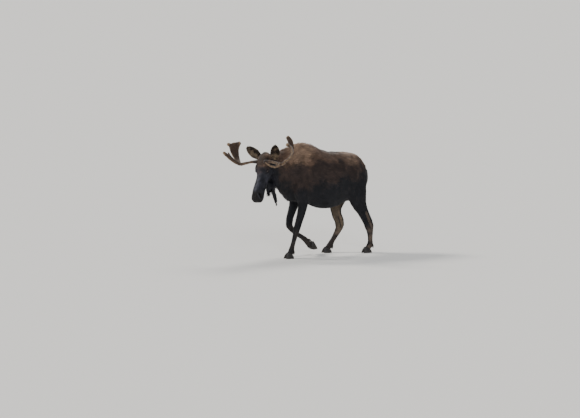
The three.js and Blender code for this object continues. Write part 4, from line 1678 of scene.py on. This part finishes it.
@dataclass(frozen=True)
class Finish:
    """One material: a Principled shader with its even measures, and what feeds it."""

    name: str
    roughness: float = 0.6
    specular: float = 0.3
    sheen: float = 0.0
    clear: float = 0.0

    def start(self) -> tuple[bpy.types.Material, Graph, bpy.types.Node]:
        """Makes a material with its shader set.

        Returns:
            The material, its graph and its shader.
        """
        material = bpy.data.materials.new(self.name)
        material.use_nodes = True
        shader = material.node_tree.nodes["Principled BSDF"]
        settings = {
            "Roughness": self.roughness,
            "Specular IOR Level": self.specular,
            "Sheen Weight": self.sheen,
            "Sheen Roughness": 0.45,
            "Coat Weight": self.clear,
            "Coat Roughness": 0.04,
        }
        for name, value in settings.items():
            shader.inputs[name].default_value = value
        return material, Graph(material.node_tree), shader


@dataclass(frozen=True)
class CoatFinish(Finish):
    """Hair or skin in the shared markings."""

    bump: float = 0.0

    def material(
        self, colours: bpy.types.NodeTree, grain: bpy.types.NodeTree | None = None
    ) -> bpy.types.Material:
        """Makes the material.

        Args:
            colours: the group of the coat's colours.
            grain: the group of short hair's streaks, where they show.

        Returns:
            A new material.
        """
        material, graph, shader = self.start()
        inputs = {socket: graph.attribute(mark) for socket, mark in mark_sockets().items()}
        paint = graph.node("ShaderNodeGroup", inputs, node_tree=colours)
        graph.join(paint.outputs["Colour"], shader.inputs["Base Color"])
        if grain:
            height = graph.node("ShaderNodeGroup", node_tree=grain).outputs["Height"]
            graph.join(graph.bump(height, self.bump, 0.004), shader.inputs["Normal"])
        return material


@dataclass(frozen=True)
class VelvetFinish(Finish):
    """Short plush over growing antler, with painted highlights on the rims, and faint channels."""

    face: Rgba = srgb(78, 62, 51)
    # the painted highlight of the rims
    rim: Rgba = srgb(146, 121, 95)
    root: Rgba = srgb(48, 39, 35)

    def material(self) -> bpy.types.Material:
        """Makes the material.

        Returns:
            A new material.
        """
        material, graph, shader = self.start()
        place = graph.place()
        mottle = graph.noise(place, 26.0, 5.0, 0.6)
        # the rims are painted paler as a highlight
        rim = graph.times(graph.attribute("rim"), graph.spread(mottle, 0.2, 0.7, 0.75, 1.1))
        colour = graph.mixed(graph.spread(mottle, 0.3, 0.7, 0.0, 0.5), self.face, self.root)
        colour = graph.mixed(rim, colour, self.rim)
        colour = graph.mixed(graph.attribute("root"), colour, self.root)
        graph.join(colour, shader.inputs["Base Color"])
        plush = graph.bump(graph.noise(place, 420.0, 3.0, 0.7), 0.35, 0.002)
        inputs = {"Vector": graph.stretched(place, (1.0, 1.0, 0.35)), "Scale": 34.0}
        channels = graph.node("ShaderNodeTexVoronoi", inputs, feature="DISTANCE_TO_EDGE")
        groove = graph.spread(channels.outputs["Distance"], 0.0, 0.12)
        graph.join(graph.bump(groove, 0.22, 0.002, Normal=plush), shader.inputs["Normal"])
        return material


@dataclass(frozen=True)
class HornFinish(Finish):
    """Worn horn with growth rings, scuffed pale at the sole and toe."""

    dark: Rgba = srgb(32, 29, 28)
    worn: Rgba = srgb(84, 76, 67)

    def material(self) -> bpy.types.Material:
        """Makes the material.

        Returns:
            A new material.
        """
        material, graph, shader = self.start()
        rings = graph.noise(graph.place((1.0, 1.0, 9.0)), 24.0)
        scuffs = graph.noise(graph.place(), 60.0, 6.0, 0.7)
        colour = graph.mixed(graph.spread(rings, 0.35, 0.65, 0.0, 0.35), self.dark, self.worn)
        wear = graph.times(graph.attribute("wear"), graph.spread(scuffs, 0.35, 0.65, 0.35, 1.0))
        colour = graph.mixed(wear, colour, self.worn)
        graph.join(colour, shader.inputs["Base Color"])
        height = graph.math("ADD", rings, graph.times(scuffs, 0.4))
        graph.join(graph.bump(height, 0.45, 0.002), shader.inputs["Normal"])
        return material


@dataclass(frozen=True)
class EyeFinish(Finish):
    """A wet dark eye: brown iris, long level pupil, pinkish-grey white at the rim."""

    iris: Rgba = srgb(40, 24, 15)
    pupil: Rgba = srgb(8, 6, 6)
    white: Rgba = srgb(60, 45, 40)
    pupil_length: float = 0.40
    pupil_height: float = 0.24

    def material(self) -> bpy.types.Material:
        """Makes the material.

        Returns:
            A new material.
        """
        material, graph, shader = self.start()
        along, across = graph.attribute("along_slit"), graph.attribute("across_slit")
        squares = [graph.math("POWER", offset, 2.0) for offset in (along, across)]
        far = graph.math("SQRT", graph.math("ADD", *squares))
        long = graph.math("POWER", graph.math("DIVIDE", along, self.pupil_length), 2.0)
        high = graph.math("POWER", graph.math("DIVIDE", across, self.pupil_height), 2.0)
        slit = graph.spread(graph.math("ADD", long, high), 0.75, 1.15)
        fibres = graph.noise(graph.place(), 900.0, 2.0)
        iris = graph.mixed(graph.spread(fibres, 0.3, 0.7, 0.0, 0.4), self.iris, self.pupil)
        colour = graph.mixed(slit, self.pupil, iris)
        colour = graph.mixed(graph.spread(far, 0.60, 0.70), colour, self.pupil)
        colour = graph.mixed(graph.spread(far, 0.72, 0.86), colour, self.white)
        graph.join(colour, shader.inputs["Base Color"])
        return material


# ------------------------------------------------------------------ antlers, hooves, eyes


def ball(
    centre: Array,
    radius: float,
    rings: int,
    segments: int,
    axes: tuple[Array, Array, Array] = tuple(np.eye(3)[[2, 0, 1]]),
) -> Surface:
    """A closed ball.

    Args:
        centre: of the ball.
        radius: of the ball.
        rings: bands from pole to pole.
        segments: round each band.
        axes: the direction of its pole and two across it.

    Returns:
        Its surface, pole first.
    """
    pole, first, second = axes
    tilt = np.linspace(0, math.pi, rings + 1)[1:-1, None]
    turn = np.linspace(0, 2 * math.pi, segments, endpoint=False)[None]
    a, b, c = np.cos(tilt) + 0 * turn, np.sin(tilt) * np.cos(turn), np.sin(tilt) * np.sin(turn)
    band = a[..., None] * pole + b[..., None] * first + c[..., None] * second
    points = np.concatenate([[pole], band.reshape(-1, 3), [-pole]]) * radius + centre
    faces, end = [], len(points) - 1
    for j in range(segments):
        k = (j + 1) % segments
        faces.append((0, 1 + j, 1 + k))
        for i in range(rings - 2):
            low, high = 1 + i * segments, 1 + (i + 1) * segments
            faces += [(low + j, high + j, high + k), (low + j, high + k, low + k)]
        base = 1 + (rings - 2) * segments
        faces.append((base + j, end, base + k))
    surface = Surface(points, np.array(faces))
    a, b, c = surface.points[surface.faces[0]] - centre
    if np.dot(np.cross(b - a, c - a), a + b + c) < 0:
        surface.faces = surface.faces[:, ::-1]
    return surface


@dataclass
class Antler:
    """One antler in velvet, joined to its root in the skull."""

    side: str
    grow: float = 0.0008
    voxel: float = 0.0052
    root_radius: float = 0.030

    def nodes(self) -> list[str]:
        """The CAD nodes of this antler."""
        return [name for name in sorted(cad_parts) if name.startswith("antler_" + self.side)]

    def mesh(self) -> bpy.types.Mesh:
        """Makes its smooth mesh, with how far each point is on a rim and near the root.

        Returns:
            The mesh.
        """
        sign = SIDES[self.side]
        burr = BODY.on_head((0.142, 0.097 * sign, 0.078))[0]
        stub = BODY.on_head((0.142, 0.055 * sign, 0.070))[0]
        root = ball((burr + stub) / 2, self.root_radius, 12, 18)
        both = Surface.joined([Surface.of_nodes(self.nodes()), root])
        surface = regrown(both, self.grow, self.voxel)
        for _ in range(7):
            surface.points = surface.averaged(surface.points, 1, 0.8)
        surface.smooth(4)
        surface.points += surface.normals() * self.grow
        points, normals = surface.points, surface.normals()
        from_burr = np.linalg.norm(points - burr, axis=1)
        coronet = 0.004 * np.exp(-(((from_burr - 0.022) / 0.012) ** 2))
        lumps = 0.0022 * cloud(points, 0.030, 71) + 0.0012 * cloud(points, 0.012, 72)
        lumps += coronet * (0.6 + 0.6 * cloud(points, 0.010, 73))
        surface.points = points + normals * lumps[:, None]
        swell = np.sum((surface.points - surface.averaged(surface.points, 22)) * normals, 1)
        mesh = surface.mesh("antler_" + self.side)
        # the rim measure is painted as a highlight by the velvet
        rim, near_root = ramp(0.0032, 0.0080, swell), ramp(0.075, 0.030, from_burr)
        set_values(mesh, {"rim": rim, "root": near_root})
        return mesh


@dataclass
class Foot:
    """The two cleaves and two dewclaws of one foot."""

    name: str
    grow: float = 0.0002
    voxel: float = 0.0040
    ring_spacing: float = 0.0085
    ring_height: float = 0.0003
    lifted_pitch: float = math.radians(120.0)
    coronet_height: float = 0.070

    def nodes(self) -> list[str]:
        """The CAD nodes of this foot."""
        kinds = ("hoof", "dewclaw")
        return [f"{kind}_{self.name}_{side}" for kind in kinds for side in ("inner", "outer")]

    def mesh(self) -> bpy.types.Mesh:
        """Makes its smooth mesh, with how worn each point is.

        Returns:
            The mesh.
        """
        surface = regrown(Surface.of_nodes(self.nodes()), self.grow, self.voxel)
        surface.smooth(6)
        sole = self._sole(surface)
        phase = sole * 2 * math.pi / self.ring_spacing + 2.0 * cloud(surface.points, 0.03, 81)
        rings = self.ring_height * np.sin(phase) * ramp(0.004, 0.012, sole)
        surface.points += surface.normals() * (rings + self.grow)[:, None]
        mesh = surface.mesh("hooves_" + self.name)
        set_values(mesh, {"wear": ramp(0.016, 0.002, sole)})
        return mesh

    def _sole(self, surface: Surface) -> Array:
        """How far each point is above the sole.

        Args:
            surface: of the foot.

        Returns:
            Metres at each point.
        """
        if self.name != LIFTED_FOOT:
            return surface.points[:, 2]
        coronet = BODY.place(LEG_LINES[LIFTED_FOOT][-1])[0]
        down = np.array([0.0, math.sin(self.lifted_pitch), -math.cos(self.lifted_pitch)])
        return self.coronet_height - (surface.points - coronet) @ down


@dataclass
class Eye:
    """One eyeball with its clear bulge."""

    side: str
    socket: EyeSocket
    bulge: float = 0.0011

    def mesh(self) -> bpy.types.Mesh:
        """Makes its mesh, with places over the iris.

        Returns:
            The mesh.
        """
        out, along, up = self.socket.axes()
        surface = ball(self.socket.centre, self.socket.radius, 40, 56, (out, along, up))
        away = unit(surface.points - self.socket.centre)
        tilt = np.arccos(np.clip(away @ out, -1, 1))
        surface.points += away * (self.bulge * np.exp(-((tilt / 0.52) ** 2)))[:, None]
        mesh = surface.mesh("eyeball_" + self.side)
        front = np.where(away @ out > 0, 1.0, 4.0)
        set_values(mesh, {"along_slit": (away @ along) * front, "across_slit": (away @ up) * front})
        return mesh


# ------------------------------------------------------------------ stage


def turned_towards(thing: bpy.types.Object, way: Vector) -> bpy.types.Object:
    """Turns a camera or a light to look a way.

    Args:
        thing: to turn.
        way: its new direction.

    Returns:
        The same object.
    """
    thing.rotation_mode = "QUATERNION"
    thing.rotation_quaternion = way.to_track_quat("-Z", "Y")
    return thing


@dataclass(frozen=True)
class Sun:
    """One broad soft light."""

    name: str
    place: Triple
    spread: float
    power: float
    colour: Triple

    def shine(self) -> None:
        """Puts the light in the scene."""
        data = bpy.data.lights.new(self.name, "SUN")
        data.angle, data.energy, data.color = math.radians(self.spread), self.power, self.colour
        light = bpy.data.objects.new(self.name, data)
        light.location = self.place
        show(turned_towards(light, -Vector(self.place)))


@dataclass(frozen=True)
class Studio:
    """A pale floor, soft light all round and the camera."""

    frame_width: float = 8.92
    distance: float = 70.0
    azimuth: float = math.radians(60.0)
    elevation: float = math.radians(7.0)
    aim: Triple = (1.3446, 0.0, 0.741)
    sensor: float = 36.0
    floor: Rgba = srgb(232, 230, 226)
    floor_reach: float = 120.0
    sky: Rgba = srgb(226, 232, 240)
    sky_strength: float = 0.50
    suns: tuple[Sun, ...] = (
        Sun("key", (-4.6, -4.4, 5.6), 14.0, 2.3, (1.0, 0.96, 0.90)),
        Sun("rim", (-3.0, 4.6, 5.6), 20.0, 1.6, (1.0, 0.97, 0.93)),
        Sun("fill", (6.5, -2.5, 3.4), 14.0, 0.55, (0.90, 0.95, 1.0)),
    )

    def camera(self) -> None:
        """Sets the camera where it sees the animal from its front left."""
        data = bpy.data.cameras.new("camera")
        data.sensor_width = self.sensor
        data.lens = self.sensor * self.distance / self.frame_width
        data.clip_start, data.clip_end = 1.0, 400.0
        camera = show(bpy.data.objects.new("camera", data))
        out = math.cos(self.elevation)
        turn = (math.sin(self.azimuth) * out, -math.cos(self.azimuth) * out, math.sin(self.elevation))
        back = Vector(turn)
        camera.location = Vector(BODY.place(self.aim)[0]) + back * self.distance
        turned_towards(camera, -back)
        bpy.context.scene.camera = camera

    def lights(self) -> None:
        """Shines the suns and fills in from the sky."""
        for sun in self.suns:
            sun.shine()
        world = bpy.data.worlds.new("sky")
        bpy.context.scene.world = world
        world.use_nodes = True
        background = world.node_tree.nodes["Background"]
        background.inputs["Color"].default_value = self.sky
        background.inputs["Strength"].default_value = self.sky_strength

    def ground(self) -> None:
        """Lays the floor."""
        corners = np.array([(-1.0, -1, 0), (1, -1, 0), (1, 1, 0), (-1, 1, 0)]) * self.floor_reach
        mesh = Surface(corners, np.array([(0, 1, 2), (0, 2, 3)])).mesh("floor")
        material, _, shader = Finish("floor", roughness=0.85, specular=0.15).start()
        shader.inputs["Base Color"].default_value = self.floor
        mesh.materials.append(material)
        show(bpy.data.objects.new("floor", mesh))


# ------------------------------------------------------------------ the whole animal


def main() -> None:
    """Builds the animal and its studio, piece by piece."""
    logging.basicConfig(level=logging.INFO, format="%(message)s")
    studio = Studio()
    studio.camera()
    studio.lights()
    studio.ground()

    colours, grain = CoatColours().group(), HairGrain().group()
    hair = CoatFinish("hair", roughness=0.56, specular=0.28, sheen=0.03).material(colours)
    hide = CoatFinish("hide", roughness=0.66, specular=0.25, bump=0.55).material(colours, grain)
    velvet = VelvetFinish("velvet", roughness=0.75, specular=0.2, sheen=0.3).material()
    horn = HornFinish("horn", roughness=0.45, specular=0.45).material()
    wet = EyeFinish("wet eye", roughness=0.20, specular=0.5, clear=0.25).material()

    skin = Skin()
    skin.build()
    mesh = skin.surface.mesh("skin")
    tint = np.clip(0.5 + 0.5 * cloud(skin.surface.points, 0.05, 61), 0, 1)
    set_values(mesh, skin.marks | {"along": np.full(len(tint), 0.15), "tint": tint})
    body = add_piece(mesh, hide, Slot.BODY)
    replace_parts(body, *[node for node, _ in skin.flesh_nodes()])

    coat = Coat(skin)
    measures = coat.measures()
    for seed, piece in enumerate(COAT_PIECES, start=100):
        add_piece(coat.grow(piece, measures, seed), hair, piece.slot)

    for side in SIDES:
        antler = Antler(side)
        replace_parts(add_piece(antler.mesh(), velvet, Slot.VELVET), *antler.nodes())
        log.info("antler: %s", side)
    for name in LEG_LINES:
        foot = Foot(name)
        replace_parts(add_piece(foot.mesh(), horn, Slot.HORN), *foot.nodes())
        log.info("hooves: %s", name)
    for side, socket in zip(SIDES, SOCKETS):
        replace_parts(add_piece(Eye(side, socket).mesh(), wet, Slot.EYE), "eye_" + side)
        log.info("eye: %s", side)


if __name__ == "__main__":
    main()
